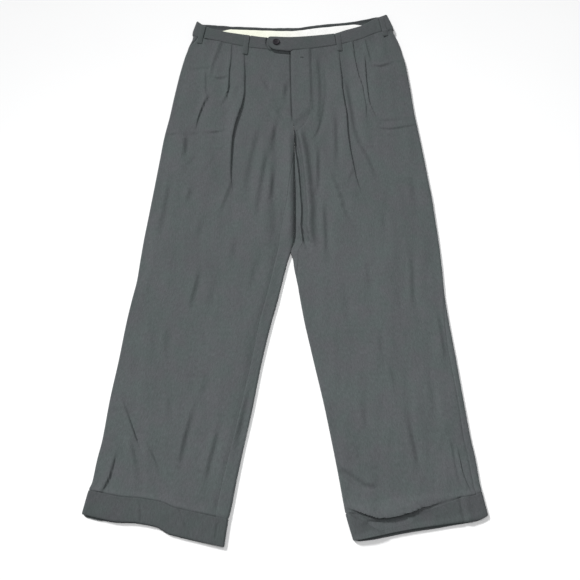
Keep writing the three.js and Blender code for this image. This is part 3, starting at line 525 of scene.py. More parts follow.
def rows_by_pitch(leg, v0, v1, pitch, k):
    """row numbers from v0 to v1, spaced along the leg by pitch [(v, mm)]; their number is 1 + a multiple of k."""
    v = np.linspace(v0, v1, 1500)
    row = leg.row(v)
    mx, my = (row["ox"] + row["ix"])[:, 0] / 2, (row["oy"] + row["iy"])[:, 0] / 2
    ds = np.hypot(np.diff(mx), np.diff(my))
    dens = 1 / np.interp((v[1:] + v[:-1]) / 2, *zip(*pitch))
    c = np.concatenate([[0], np.cumsum(ds * dens)])
    n = max(1, int(round(c[-1] / k))) * k
    return np.interp(np.linspace(0, c[-1], n + 1), c, v)


def columns_between(anchors, counts, grade):
    """columns through the anchors (rows, n) with counts between them; grade is the share of finer spacing at both ends."""
    A = np.array(anchors)
    need = np.array([c * 0.22 for c in counts])
    for k in range(1, A.shape[1] - 1):
        A[:, k] = np.maximum(A[:, k], A[:, k - 1] + need[k - 1])
    for k in range(A.shape[1] - 2, 0, -1):
        A[:, k] = np.minimum(A[:, k], A[:, k + 1] - need[k])
    for k in range(1, A.shape[1] - 1):
        A[:, k] = np.maximum(A[:, k], A[:, k - 1] + need[k - 1] * 0.5)
    out = [A[:, :1]]
    for k, (c, g) in enumerate(zip(counts, grade)):
        t = np.arange(1, c + 1) / c
        if g == "start":
            t = t ** 1.7
        elif g == "end":
            t = 1 - (1 - t) ** 1.7
        else:
            t = t - g / TAU * np.sin(TAU * t)
        out.append(A[:, k:k + 1] + (A[:, k + 1:k + 2] - A[:, k:k + 1]) * t[None])
    return np.concatenate(out, 1)


def flat_cut(x, y, z):
    """(greatest width, length, area) in metres of a grid before its folds are put in."""
    p = np.stack([x, y, z], -1) * 0.001
    across = np.linalg.norm(np.diff(p, axis=1), axis=2).sum(1)
    along = np.linalg.norm(np.diff(p, axis=0), axis=2)
    a = p[1:, 1:] - p[:-1, :-1]
    b = p[1:, :-1] - p[:-1, 1:]
    area = 0.5 * np.linalg.norm(np.cross(a, b), axis=2).sum()
    return float(across.max()), float(along.sum(0).max()), float(area)


def finish_piece(ob, slot, nodes, flat=None, rests=("floor",), **kw):
    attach(ob, "root")
    if nodes:
        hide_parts(*nodes)
    return ob


# ------------------------------------------------------------------ materials
def node(nt, kind, x=0, y=0, **props):
    n = nt.nodes.new(kind)
    n.location = (x, y)
    for k, v in props.items():
        if k.startswith("in_"):
            n.inputs[k[3:].replace("_", " ")].default_value = v
        else:
            setattr(n, k, v)
    return n


def new_material(name):
    m = bpy.data.materials.new(name)
    m.use_nodes = True
    nt = m.node_tree
    nt.nodes.clear()
    out = node(nt, "ShaderNodeOutputMaterial", 1200, 0)
    bsdf = node(nt, "ShaderNodeBsdfPrincipled", 900, 0)
    nt.links.new(bsdf.outputs[0], out.inputs[0])
    return m, nt, bsdf


def math_node(nt, op, a, b=None, clamp=False):
    n = node(nt, "ShaderNodeMath", operation=op, use_clamp=clamp)
    for k, v in enumerate((a, b)):
        if v is None:
            continue
        if isinstance(v, (int, float)):
            n.inputs[k].default_value = v
        else:
            nt.links.new(v, n.inputs[k])
    return n.outputs[0]


def mix_colour(nt, fac, a, b, blend="MIX"):
    n = node(nt, "ShaderNodeMix", data_type="RGBA", blend_type=blend)
    n.inputs["Factor"].default_value = 1.0
    if isinstance(fac, (int, float)):
        n.inputs["Factor"].default_value = fac
    else:
        nt.links.new(fac, n.inputs["Factor"])
    for key, v in (("A", a), ("B", b)):
        sock = [s for s in n.inputs if s.name == key and s.type == "RGBA"][0]
        if isinstance(v, tuple):
            sock.default_value = (*v, 1.0)
        else:
            nt.links.new(v, sock)
    return [s for s in n.outputs if s.type == "RGBA"][0]


def noise_node(nt, vec, scale, detail=3.0, rough=0.55, stretch=None):
    if stretch:
        mp = node(nt, "ShaderNodeMapping")
        mp.inputs["Scale"].default_value = stretch
        nt.links.new(vec, mp.inputs["Vector"])
        vec = mp.outputs[0]
    n = node(nt, "ShaderNodeTexNoise")
    n.inputs["Scale"].default_value = scale
    n.inputs["Detail"].default_value = detail
    n.inputs["Roughness"].default_value = rough
    nt.links.new(vec, n.inputs["Vector"])
    return n


def span(nt, value, lo, hi, to_lo=0.0, to_hi=1.0):
    n = node(nt, "ShaderNodeMapRange")
    for k, v in (("From Min", lo), ("From Max", hi), ("To Min", to_lo), ("To Max", to_hi)):
        n.inputs[k].default_value = v
    nt.links.new(value, n.inputs["Value"])
    return n.outputs[0]


def suiting(name, base, lift=1.0, weave=1.0):
    """Charcoal worsted: a fine twill of mixed yarns, a little warm and cool by turns."""
    m, nt, bsdf = new_material(name)
    uvn = node(nt, "ShaderNodeUVMap", -1800, 0, uv_map="cloth")
    uv = uvn.outputs[0]
    place = node(nt, "ShaderNodeTexCoord").outputs["Object"]
    sep = node(nt, "ShaderNodeSeparateXYZ")
    nt.links.new(uv, sep.inputs[0])
    u, v = sep.outputs[0], sep.outputs[1]
    # twill ribs, and the yarns across them
    wob = noise_node(nt, uv, 260.0, 2.0).outputs["Fac"]
    diag = math_node(nt, "ADD", math_node(nt, "MULTIPLY", u, 5400.0), math_node(nt, "MULTIPLY", v, 4600.0))
    diag = math_node(nt, "ADD", diag, math_node(nt, "MULTIPLY", wob, 2.6))
    rib = math_node(nt, "SINE", diag)
    yarn = math_node(nt, "SINE", math_node(nt, "ADD", math_node(nt, "MULTIPLY", u, 12600.0), math_node(nt, "MULTIPLY", wob, 2.0)))
    rib = math_node(nt, "ADD", math_node(nt, "MULTIPLY", rib, 0.36), math_node(nt, "MULTIPLY", yarn, 0.14))
    rib = math_node(nt, "ADD", rib, 0.5)
    # mixed fibres: short light and dark streaks along the warp
    fibre = noise_node(nt, uv, 1.0, 3.0, 0.65, stretch=(1500.0, 420.0, 1.0)).outputs["Fac"]
    streak = noise_node(nt, uv, 1.0, 3.0, 0.6, stretch=(520.0, 60.0, 1.0)).outputs["Fac"]
    fleck = noise_node(nt, uv, 1.0, 1.0, 0.5, stretch=(900.0, 700.0, 1.0)).outputs["Fac"]
    slow = noise_node(nt, place, 9.0, 3.0, 0.6).outputs["Fac"]
    tint = noise_node(nt, place, 26.0, 3.0, 0.6).outputs["Fac"]
    cool = (base[0] * 0.955, base[1] * 1.02, base[2] * 1.0)
    warm = (base[0] * 1.035, base[1] * 0.985, base[2] * 1.025)
    col = mix_colour(nt, span(nt, tint, 0.36, 0.64), cool, warm)
    level = math_node(nt, "MULTIPLY", span(nt, fibre, 0.25, 0.75, 0.80, 1.20), span(nt, streak, 0.3, 0.7, 0.93, 1.07))
    level = math_node(nt, "MULTIPLY", level, span(nt, slow, 0.3, 0.7, 0.95, 1.05))
    level = math_node(nt, "MULTIPLY", level, span(nt, rib, 0.0, 1.0, 0.90, 1.10))
    level = math_node(nt, "MULTIPLY", level, span(nt, fleck, 0.66, 0.80, 1.0, 1.35))
    # a heather of 2 to 5 mm, drawn out along the warp
    mottle = noise_node(nt, uv, 1.0, 2.0, 0.7, stretch=(420.0, 150.0, 1.0)).outputs["Fac"]
    level = math_node(nt, "MULTIPLY", level, span(nt, mottle, 0.30, 0.70, 0.86, 1.13))
    # lift below 1 paints a darker copy of the same cloth: painted shade, used for the waistband, belt loops and
    # turn-ups
    level = math_node(nt, "MULTIPLY", level, lift)
    grey = node(nt, "ShaderNodeCombineColor")
    for k in range(3):
        nt.links.new(level, grey.inputs[k])
    col = mix_colour(nt, 1.0, col, grey.outputs[0], "MULTIPLY")
    nt.links.new(col, bsdf.inputs["Base Color"])
    rough = span(nt, fibre, 0.2, 0.8, 0.74, 0.92)
    nt.links.new(rough, bsdf.inputs["Roughness"])
    bsdf.inputs["Specular IOR Level"].default_value = 0.28
    bsdf.inputs["Sheen Weight"].default_value = 0.10
    bsdf.inputs["Sheen Roughness"].default_value = 0.45
    bsdf.inputs["Sheen Tint"].default_value = (0.8, 0.84, 0.86, 1.0)
    # weave, nap and small soft handling marks
    soft = noise_node(nt, place, 1.0, 3.0, 0.6, stretch=(55.0, 26.0, 40.0)).outputs["Fac"]
    b1 = node(nt, "ShaderNodeBump")
    b1.inputs["Strength"].default_value = 0.55
    b1.inputs["Distance"].default_value = 0.0016
    nt.links.new(soft, b1.inputs["Height"])
    b2 = node(nt, "ShaderNodeBump")
    b2.inputs["Strength"].default_value = 0.45 * weave
    b2.inputs["Distance"].default_value = 0.00022
    h = math_node(nt, "ADD", math_node(nt, "MULTIPLY", rib, 0.75), math_node(nt, "MULTIPLY", fibre, 0.5))
    nt.links.new(h, b2.inputs["Height"])
    nt.links.new(b1.outputs[0], b2.inputs["Normal"])
    nt.links.new(b2.outputs[0], bsdf.inputs["Normal"])
    return m


def lining_material():
    m, nt, bsdf = new_material("lining_cotton")
    uv = node(nt, "ShaderNodeUVMap", uv_map="cloth").outputs[0]
    sep = node(nt, "ShaderNodeSeparateXYZ")
    nt.links.new(uv, sep.inputs[0])
    w1 = math_node(nt, "SINE", math_node(nt, "MULTIPLY", sep.outputs[0], 9000.0))
    w2 = math_node(nt, "SINE", math_node(nt, "MULTIPLY", sep.outputs[1], 9000.0))
    weave = math_node(nt, "MULTIPLY", w1, w2)
    slow = noise_node(nt, uv, 60.0, 3.0).outputs["Fac"]
    # cream towards the wearer's right, whiter towards the left
    along = span(nt, node_x(nt), -0.06, 0.05)
    col = mix_colour(nt, along, (0.97, 0.985, 0.83), (0.97, 0.97, 0.95))
    lvl = math_node(nt, "MULTIPLY", span(nt, slow, 0.3, 0.7, 0.96, 1.03), span(nt, weave, -1.0, 1.0, 0.97, 1.02))
    grey = node(nt, "ShaderNodeCombineColor")
    for k in range(3):
        nt.links.new(lvl, grey.inputs[k])
    nt.links.new(mix_colour(nt, 1.0, col, grey.outputs[0], "MULTIPLY"), bsdf.inputs["Base Color"])
    bsdf.inputs["Roughness"].default_value = 0.8
    bump = node(nt, "ShaderNodeBump")
    bump.inputs["Strength"].default_value = 0.3
    bump.inputs["Distance"].default_value = 0.0002
    nt.links.new(weave, bump.inputs["Height"])
    nt.links.new(bump.outputs[0], bsdf.inputs["Normal"])
    return m


def node_x(nt):
    sep = node(nt, "ShaderNodeSeparateXYZ")
    nt.links.new(node(nt, "ShaderNodeTexCoord").outputs["Object"], sep.inputs[0])
    return sep.outputs[0]


def button_material():
    m, nt, bsdf = new_material("button_resin")
    place = node(nt, "ShaderNodeTexCoord").outputs["Object"]
    swirl = noise_node(nt, place, 1.0, 4.0, 0.6, stretch=(160.0, 420.0, 160.0)).outputs["Fac"]
    col = mix_colour(nt, span(nt, swirl, 0.35, 0.65), (0.013, 0.011, 0.014), (0.024, 0.020, 0.026))
    nt.links.new(col, bsdf.inputs["Base Color"])
    nt.links.new(span(nt, swirl, 0.3, 0.7, 0.55, 0.70), bsdf.inputs["Roughness"])
    bsdf.inputs["Specular IOR Level"].default_value = 0.25
    return m


def thread_material(name, colour):
    m, nt, bsdf = new_material(name)
    place = node(nt, "ShaderNodeTexCoord").outputs["Object"]
    ply = noise_node(nt, place, 2600.0, 2.0).outputs["Fac"]
    nt.links.new(mix_colour(nt, span(nt, ply, 0.3, 0.7), tuple(c * 0.8 for c in colour), tuple(c * 1.2 for c in colour)), bsdf.inputs["Base Color"])
    nt.links.new(span(nt, ply, 0.3, 0.7, 0.55, 0.75), bsdf.inputs["Roughness"])
    return m


def tape_material():
    m, nt, bsdf = new_material("zip_tape")
    place = node(nt, "ShaderNodeTexCoord").outputs["Object"]
    rib = noise_node(nt, place, 1.0, 2.0, 0.5, stretch=(1800.0, 300.0, 900.0)).outputs["Fac"]
    nt.links.new(mix_colour(nt, span(nt, rib, 0.3, 0.7), (0.020, 0.022, 0.024), (0.034, 0.037, 0.040)), bsdf.inputs["Base Color"])
    nt.links.new(span(nt, rib, 0.3, 0.7, 0.7, 0.9), bsdf.inputs["Roughness"])
    return m


def metal_material():
    m, nt, bsdf = new_material("zip_steel")
    place = node(nt, "ShaderNodeTexCoord").outputs["Object"]
    scratch = noise_node(nt, place, 1.0, 3.0, 0.6, stretch=(900.0, 90.0, 300.0)).outputs["Fac"]
    nt.links.new(mix_colour(nt, span(nt, scratch, 0.3, 0.7), (0.36, 0.34, 0.30), (0.52, 0.50, 0.46)), bsdf.inputs["Base Color"])
    nt.links.new(span(nt, scratch, 0.3, 0.7, 0.28, 0.45), bsdf.inputs["Roughness"])
    bsdf.inputs["Metallic"].default_value = 1.0
    return m


BASE = (0.0820, 0.0915, 0.0930)
M_LEG = suiting("suiting_leg", BASE)
# the waistband and belt loops, and the turn-ups, take copies of the same suiting painted darker: painted shade
M_BAND_PAINTED_SHADE = suiting("suiting_band_painted_shade", BASE, lift=0.86)
M_CUFF_PAINTED_SHADE = suiting("suiting_cuff_painted_shade", BASE, lift=0.82)
M_THREAD = thread_material("thread_charcoal", (0.060, 0.068, 0.070))
M_DARK_THREAD = thread_material("thread_dark", (0.025, 0.026, 0.028))
M_LINING = lining_material()
M_BUTTON = button_material()
M_METAL = metal_material()


# ------------------------------------------------------------------ leg panels
def undulate(x, y, seed):
    """Slow unevenness of cloth that has been worn and smoothed out by hand."""
    return (1.0 * noise(x, y, seed, 30, 150) + 0.62 * noise(x, y, seed + 1, 15, 60)
            + 0.18 * noise(x, y, seed + 2, 9, 22) + 0.35 * noise(x, y, seed + 3, 70, 90))


def valley(side, x, y):
    """The trough between the legs below the fly, and the rolls beside it."""
    along = smooth((750 - y) / 40) * smooth((y - 462) / 50)
    dz, dx = np.zeros_like(x), np.zeros_like(x)
    if side == "right":
        dz += along * 4.4 * np.exp(-(((x + 1) / 9.0) ** 2)) - along * 1.8 * np.exp(-(((x + 30) / 11) ** 2))
    else:
        gx = through([(455, 40), (470, 38), (491, 32), (523, 29), (556, 30), (589, 28), (634, 25), (692, 18), (720, 13), (745, 10)], y)
        mid = gx - 8.0             # a lower roll in the trough, steep towards the wearer's left
        roll = np.exp(-(((x - mid) / np.where(x < mid, 7.0, 2.3)) ** 2))
        wide = smooth((gx - 13) / 8)
        dz -= along * smooth((gx + 5.2 - x) / 3.0) * (7.6 - 8.8 * roll * wide)
        dz += along * 5.6 * np.exp(-(((x - gx - 9.0) / np.where(x < gx + 9.0, 3.6, 7.5)) ** 2)) - along * 1.8 * np.exp(-(((x - gx - 24) / 9) ** 2))
        dx -= along * wide * 2.0 * np.exp(-(((x - gx - 7.5) / 3.4) ** 2))      # it leans over the trough
        # short diagonal tucks at the foot of the trough
        for (ax, ay), (bx, by), k in (((16, 528), (38, 498), 2.2), ((22, 506), (44, 478), 2.0), ((12, 500), (26, 474), 1.3)):
            dx_, dy_ = bx - ax, by - ay
            n = math.hypot(dx_, dy_)
            t = ((x - ax) * dx_ + (y - ay) * dy_) / n
            q = ((x - ax) * dy_ - (y - ay) * dx_) / n
            dz += k * (np.exp(-(((q - 2.5) / 3) ** 2)) - np.exp(-(((q + 2.0) / 2.4) ** 2))) * smooth(t / 6) * smooth((n - t) / 6)
    return dz, dx


def top_shape(leg, side, x, y, u, row):
    """height added to the upper cloth, and its sideways lean."""
    dz, dx, dy = relief(leg.folds, x, y)
    rolls, lean = valley(side, x, y)
    dz, dx = dz + undulate(x, y, 11 if side == "right" else 47) + rolls, dx + lean
    # the fronts rise to meet the waistband
    below = through(SEAM_FRONT, x) - y
    dz = dz + 1.6 * np.exp(-((np.maximum(below, 0) / 16) ** 2)) * smooth((260 - np.abs(x)) / 60)
    return dz, dx, dy


TAB_END = [(-47.5, 969), (-50.8, 963), (-51.4, 956), (-50.2, 950), (-47.2, 944.5), (-42, 938), (-36, 934.5)]
TAB_FOOT = [(-42, 937), (-36, 933.6), (-20, 930.8), (-4, 929.6), (3, 930.5)]


def line_gap(x, y, line):
    """Distance from points to a line of points."""
    p = np.array(line, float)
    out = np.full(np.shape(x), 1e6)
    for a, b in zip(p[:-1], p[1:]):
        d = b - a
        t = np.clip(((x - a[0]) * d[0] + (y - a[1]) * d[1]) / (d @ d), 0, 1)
        out = np.minimum(out, np.hypot(x - a[0] - t * d[0], y - a[1] - t * d[1]))
    return out


def lap(x, y, u):
    """share of the raised fly lap: 1 over the fly, 0 beyond its curved stitching."""
    return smooth((46 - u) / 9) * smooth((y - 742 - u * 0.9) / 22)


def cuff_droop(side, x):
    """How far the top edge of a turn-up hangs below its straight line."""
    if side == "right":
        return np.zeros_like(x)
    return through([(95, 0), (102, 1), (128, 9), (153, 18), (179, 19), (205, 17), (231, 14), (253, 11), (266, 7.5), (285, 3.4), (297, 0), (332, 0)], x)


def cuff_relief(side, x, y):
    """Height of the worn turn-up over its plain form; the leg inside follows it."""
    dz = 0.45 * noise(x, y, 91 + (side == "left"), 26, 34)
    if side == "left":
        up = y - (-59 + (x - 107) * 41 / 232)          # above the hem
        # hollow below the billowing leg, the hem standing up again
        sunk = smooth((x - 112) / 24) * smooth((268 - x) / 80)
        dz = dz + (0.4 - 3.6 * smooth((30 - up) / 10)) * sunk
        dz = dz + (1.8 + 5.2 * sunk) * np.exp(-((up / 6) ** 2)) * smooth((x - 95) / 20) * smooth((335 - x) / 30)
        # the inner corner is creased off along a slanting line
        q = -(27 * (x - 98) + 52 * (y + 14)) / 58.6
        near = smooth((x - 96) / 8) * smooth((172 - x) / 24)
        dz = dz + (2.6 * smooth((q + 1) / 3.5) - 2.2 * np.exp(-(((q + 4.5) / 4) ** 2))) * near
        # and a short fold near the outer edge
        q = (x - 297) + 0.12 * (y - 0)
        dz = dz + 1.2 * np.exp(-(((q - 6) / 6) ** 2)) - 1.5 * np.exp(-(((q + 3) / 3.5) ** 2))
        dz = np.maximum(dz, -2.9)       # the leg lies under it
    else:
        for ax, ay, bx, by, k in ((-196, 2, -170, -49, 0.8), (-150, 23, -143, -19, 0.5), (-258, 7, -255, -29, 0.5), (-124, -26, -127, -54, 0.7)):
            n = math.hypot(bx - ax, by - ay)
            t = ((x - ax) * (bx - ax) + (y - ay) * (by - ay)) / n
            q = ((x - ax) * (by - ay) - (y - ay) * (bx - ax)) / n
            dz = dz + k * (np.exp(-(((q - 3) / 3.5) ** 2)) - np.exp(-(((q + 1.5) / 2.2) ** 2))) * smooth(t / 8) * smooth((n + 4 - t) / 8)
        dz = dz + 0.9 * smooth((-110 - x) / 30) * smooth((x + 350) / 30) * smooth((10 - y) / 30)
    return dz


def build_front(side):
    leg = LEGS[side]
    kr = kc = 3
    v = rows_by_pitch(leg, 0.0, 21.9, [(0, 1.5), (4, 1.6), (8, 1.8), (11, 2.6), (17, 2.6), (18, 2.0), (22, 1.4)], kr)
    row = leg.row(v)
    L, a1, mouth = row["L"], row["a1"], row["mouth"]
    vv = row["v"]
    start = row["cut"] + 0.0
    if side == "right":
        start = start - 9.0 * smooth((5.0 - vv) / 0.5)   # runs on under the fly lap
    else:
        start = start - 1.6 * smooth((5.0 - vv) / 0.5)
    end = L + mouth
    fa = {k: leg.fold_a(row, LINES[side][k]) for k in "ABC"}
    anchors = np.concatenate([start, start + 9, np.maximum(a1 + 46, start + 20), fa["A"], fa["B"], fa["C"], end - 32, end], 1)
    a = columns_between(anchors, [12, 24, 27, 18, 15, 33, 30], ["start", 0.2, 0.55, 0.72, 0.72, 0.55, "end"])
    x0, y0, z0, under, u = leg.section(row, a, straight=True)
    CUTS = flat_cut(x0, y0, z0)
    # edges: a sunk seam, or the rounded free edge of the pocket mouth
    ds, de = a - start, end - a
    faint = 1 - (0.55 * smooth((11 - vv) / 2) if side == "right" else 0.85 * smooth((13.6 - vv) / 1.6))      # the inside seam hardly shows on the thigh
    dip = 0.45 * np.exp(-((ds / 1.4) ** 2)) * faint + 0.9 * np.exp(-(((ds - 1.5) / 4.0) ** 2)) * (1 - 0.85 * smooth((9.3 - vv) / 1.0)) * (0.3 + 0.7 * smooth((vv - 13.0) / 1.5) if side == "left" else 1.0) \
        + 0.5 * np.exp(-((de / 1.4) ** 2)) + 0.3 * np.exp(-((de / 3.6) ** 2))
    free = smooth((3.6 - vv) / 0.6)
    if side == "left":
        dip = dip * np.where(ds < 30, 1 - 0.3 * smooth((5.8 - vv) / 0.6), 1)
    inside = smooth((vv - (CUFF_TOP - 0.10) - cuff_droop(side, x0) / 40) / 0.12)    # the leg goes inside the turn-up
    x, y, z, under, u = leg.section(row, a, -dip - 1.9 * inside, straight=True)
    top = (~under).astype(float)
    dz, dx, dy = top_shape(leg, side, x, y, u, row)
    keep = 1 - inside
    edge = smooth((L - a + 2) / 10)     # folds die out on the rolled edge
    dz, dx, dy = dz * top * keep * edge, dx * top * keep * edge, dy * top * keep * edge
    dz = dz + cuff_relief(side, x, y) * top * inside * edge * smooth(u / 8)
    if side == "left":
        k = lap(x, y, u)
        dz = dz + 2.5 * k
        hem = np.exp(-((np.maximum(u, 0) / 2.2) ** 2)) * k
        dz = dz - 0.25 * hem
        # the curved stitching draws the lap down
        line = through([(736, 12), (753, 29), (779, 40), (811, 44), (874, 45), (939, 45)], y)
        dz = dz - 0.42 * np.exp(-(((x - line) / 2.6) ** 2)) * smooth((y - 738) / 8) * smooth((70 - u) / 10)
    if side == "right":
        dz = dz - 2.8 * smooth((5.0 - u) / 4.0) * smooth((5.0 - vv) / 0.5)
        dz = dz - 4.2 * np.exp(-((line_gap(x, y, TAB_FOOT) / 3.3) ** 2)) * top
    z = z + dz
    x, y = x + dx, y + dy
    z = np.where(top > 0, np.maximum(z, 3.5 - 2.0 * smooth((4 - u) / 4) * (row["roll"] > 0)), z)
    # pocket mouth: the free edge stands a little open
    z = z + free * 0.7 * np.exp(-((de / 7) ** 2)) * top
    z = np.maximum(z, FLOOR_CLEAR)
    outer = np.stack([x, y, z], -1)
    xi, yi, zi, _, _ = leg.section(row, a, -CLOTH - 1.9 * inside, straight=True)
    low = min_filter(z - z0, 3)
    zi = zi + np.where(top > 0, low, 0)
    zi = np.where(top > 0, np.maximum(np.minimum(zi, min_filter(z, 2) - 0.7), 1.95), zi)
    zi = np.where((top > 0) & (zi > z - 0.35), z - 0.35, zi)
    inner = np.stack([xi, yi, zi], -1)[::kr, ::kc]
    length = np.concatenate([[0], np.cumsum(np.linalg.norm(np.diff(outer[:, outer.shape[1] // 2], axis=0), axis=1))])
    uv = np.stack([np.broadcast_to(a, z.shape) * 0.001, np.broadcast_to(-length[:, None], z.shape) * 0.001], -1)
    ob = shell(f"front_{side}_cloth", outer, inner, kr, kc, uv=uv, material=M_LEG)
    finish_piece(ob, "suiting", [f"front_{side}"], CUTS, rests=[f"back_{side}_cloth"])
    return dict(row=row, a=a, outer=outer, v=v)


def build_back(side):
    leg = LEGS[side]
    kr = kc = 3
    v = rows_by_pitch(leg, 0.0, 21.85, [(0, 3.0), (4, 2.6), (8, 2.2), (11, 3.0), (17, 3.4), (22, 3.0)], kr)
    row = leg.row(v)
    L, a1, vv = row["L"], row["a1"], row["v"]
    q = row["r"] * math.pi / 2
    start, end = L + row["side"] + GAP, 2 * L + row["cut"] - GAP
    anchors = np.concatenate([start, np.maximum(L + q + 4, start + 8), 2 * L - q - 6, 2 * L + 0 * q, end], 1)
    counts, grade = [18, 42, 9, 18], ["start", 0.1, 0.1, "end"]
    # at the hips the panel ends at the centre seam; lower down it runs over the inner edge
    anchors[:, 3] = np.minimum(anchors[:, 3], end[:, 0] - 4.2)
    a = columns_between(anchors, counts, grade)
    x0, y0, z0, under, u = leg.section(row, a)
    CUTS = flat_cut(x0, y0, z0)
    ds, de = a - start, end - a
    dip = 0.75 * np.exp(-((ds / 1.5) ** 2)) + 0.75 * np.exp(-((de / 1.5) ** 2)) * (1 - 0.75 * smooth((13.6 - vv) / 1.6) * (side == "left"))
    inside = smooth((vv - (CUFF_TOP - 0.10)) / 0.12)
    x, y, z, under, u = leg.section(row, a, -dip - 1.9 * inside)
    top = ~under
    dz, dx, dy = top_shape(leg, side, x, y, u, row)
    keep = (1 - 0.9 * inside)
    edge = smooth((L * 1.0 - np.where(a > 2 * L, a - 2 * L, a) + 2) / 10)
    fade_in = smooth((np.where(a > 2 * L, a - 2 * L, 20)) / 5)     # nothing at the very edge, which both faces share
    gain = np.where(top, keep * edge * fade_in, 0)
    # underneath, soft troughs stand off the floor
    low = 0.22 * (1 + noise(x, y, 71, 40, 160)) + 0.14 * (1 + noise(x, y, 72, 16, 60))
    flat_part = smooth((u - 3) / 12) * smooth((row["W"] - u - 3) / 12)
    z = np.where(top, z + dz * gain, z + low * flat_part * (1 - inside) + FLOOR_CLEAR * (1 - inside))
    x, y = x + dx * gain, y + dy * gain
    z = np.where(top, np.maximum(z, 3.3 - 2.2 * smooth((6 - u) / 6)), z)
    z = np.maximum(z, FLOOR_CLEAR)
    outer = np.stack([x, y, z], -1)
    xi, yi, zi, _, _ = leg.section(row, a, -CLOTH - 1.9 * inside)
    change = min_filter(z - z0, 2)
    zi = np.where(top, zi + change, zi + (z - z0) * flat_part)
    zi = np.where(top & (u > 6), np.maximum(np.minimum(zi, z - 0.5), 1.9), zi)
    inner = np.stack([xi, yi, zi], -1)[::kr, ::kc]
    length = np.concatenate([[0], np.cumsum(np.linalg.norm(np.diff(outer[:, outer.shape[1] // 2], axis=0), axis=1))])
    uv = np.stack([np.broadcast_to(a, z.shape) * 0.001, np.broadcast_to(-length[:, None], z.shape) * 0.001], -1)
    ob = shell(f"back_{side}_cloth", outer, inner, kr, kc, uv=uv, material=M_LEG)
    finish_piece(ob, "suiting", [f"back_{side}"], CUTS)


def build_facing(side):
    """The slanted pocket: a facing under the free edge of the front."""
    leg = LEGS[side]
    v = rows_by_pitch(leg, 0.0, 3.4, [(0, 2.0), (4, 2.0)], 2)
    row = leg.row(v)
    L, vv = row["L"], row["v"]
    start, end = L + row["mouth"] - 8 * smooth((3.3 - vv) / 0.6) + 0.4, L + row["side"] - 0.1
    n = 28
    t = np.arange(n + 1) / n
    a = start + (end - start) * t[None]
    seen = a - (L + row["mouth"])                     # beyond the free edge
    off = -2.3 * smooth((3.5 - seen) / 4.5) - 0.5 * np.exp(-(((end - a) / 1.5) ** 2))
    x, y, z, under, u = leg.section(row, a, off)
    x0, y0, z0, _, _ = leg.section(row, a)
    CUTS = flat_cut(x0, y0, z0)
    dz, dx, dy = top_shape(leg, side, x, y, u, row)
    z = np.maximum(z + np.where(under, 0, dz) * smooth((L - a + 2) / 10), FLOOR_CLEAR)
    outer = np.stack([x, y, z], -1)
    xi, yi, zi, _, _ = leg.section(row, a, off - CLOTH)
    zi = np.where(under, zi, np.minimum(zi + z - z0, z - 0.5))
    inner = np.stack([xi, yi, zi], -1)[::2, ::2]
    uv = np.stack([a * 0.001, np.broadcast_to(-y * 0.001, a.shape)], -1)
    ob = shell(f"pocket_facing_{side}_cloth", outer, inner, 2, 2, uv=uv, material=M_LEG)
    finish_piece(ob, "suiting", [f"pocket_facing_{side}"], CUTS, rests=[f"back_{side}_cloth"])


def build_cuff(side):
    """The turn-up: a ring of cloth that stands off the leg, folded in at the hem."""
    leg = LEGS[side]
    kr, kc = 2, 3
    n_down, C = 30, 360
    t = np.arange(n_down + 1) / n_down
    k = t - 0.5 / TAU * np.sin(TAU * t)
    row = leg.row(CUFF_TOP + k)
    L = row["L"]
    a = 2 * L * (np.arange(C) / C)[None]
    x0, y0, z0, under, u = leg.section(row, a)
    ring = np.concatenate([x0, x0[:, :1]], 1), np.concatenate([y0, y0[:, :1]], 1), np.concatenate([z0, z0[:, :1]], 1)
    CUTS = flat_cut(*ring)
    kk = k[:, None]
    down = kk * 40.0
    round_top = 0.55 * np.exp(-((down / 0.9) ** 2))
    round_hem = 0.9 * np.exp(-(((40 - down) / 1.2) ** 2))
    x, y, z, under, u = leg.section(row, a, -round_top - round_hem)
    top = ~under
    share = np.clip(1 - u / row["W"], 0, 1)
    edge = smooth(u / 8) * smooth((row["W"] - u) / 8)
    y = y - cuff_droop(side, x) * (1 - kk) * top
    dz = cuff_relief(side, x, y) + 0.2 * noise(x, y, 95, 11, 18)
    # the hem hangs a little off the floor at the back
    z = np.where(top, z + dz * edge, z + 0.2 * edge + FLOOR_CLEAR)
    z = np.maximum(z, FLOOR_CLEAR)
    # the back of the hem reaches a little further down than the front
    if side == "left":
        drop = through([(105, 0), (120, 3.0), (150, 5.2), (240, 4.6), (290, 2.4), (330, 0.6)], x)
    else:
        drop = through([(-350, 3.6), (-330, 4.2), (-310, 2.2), (-240, 1.6), (-170, 1.6), (-120, 0.6)], x)
    drop = drop * smooth((u - 1) / 8) * smooth((row["W"] - u - 1) / 6)
    y = y - np.where(under, drop * smooth((kk - 0.3) / 0.7), 0)
    outer = np.stack([x, y, z], -1)
    xi, yi, zi, _, _ = leg.section(row, a, -1.35 - 0.0 * kk)
    zi = np.where(top, zi + dz * edge, zi + FLOOR_CLEAR + 1.2 * smooth((kk - 0.75) / 0.2) * edge)
    zi = np.where(top, np.minimum(zi, z - 0.7), np.maximum(zi, z + 0.7))
    yi = yi - np.where(under, drop * smooth((kk - 0.3) / 0.7), 0) + (y - leg.section(row, a, 0.0)[1]) * top
    inner = np.stack([xi, yi, zi], -1)[::kr, ::kc]
    aw = np.concatenate([a, 2 * L], 1)
    uv = np.stack([aw * 0.001, np.broadcast_to(-down, aw.shape) * 0.001], -1)
    ob = shell(f"cuff_{side}_cloth", outer, inner, kr, kc, ring=True, uv=uv, material=M_CUFF_PAINTED_SHADE)
    finish_piece(ob, "suiting", [f"cuff_{side}"], CUTS, rests=["floor", f"front_{side}_cloth"])


# ------------------------------------------------------------------ waistband
# beside the belt loops: x at the seam and at the top edge
PRESS = {"right": [(-91.2, -87.2), (-190.0, -184.2)], "left": [(101.6, 98.4), (203.0, 196.0)]}


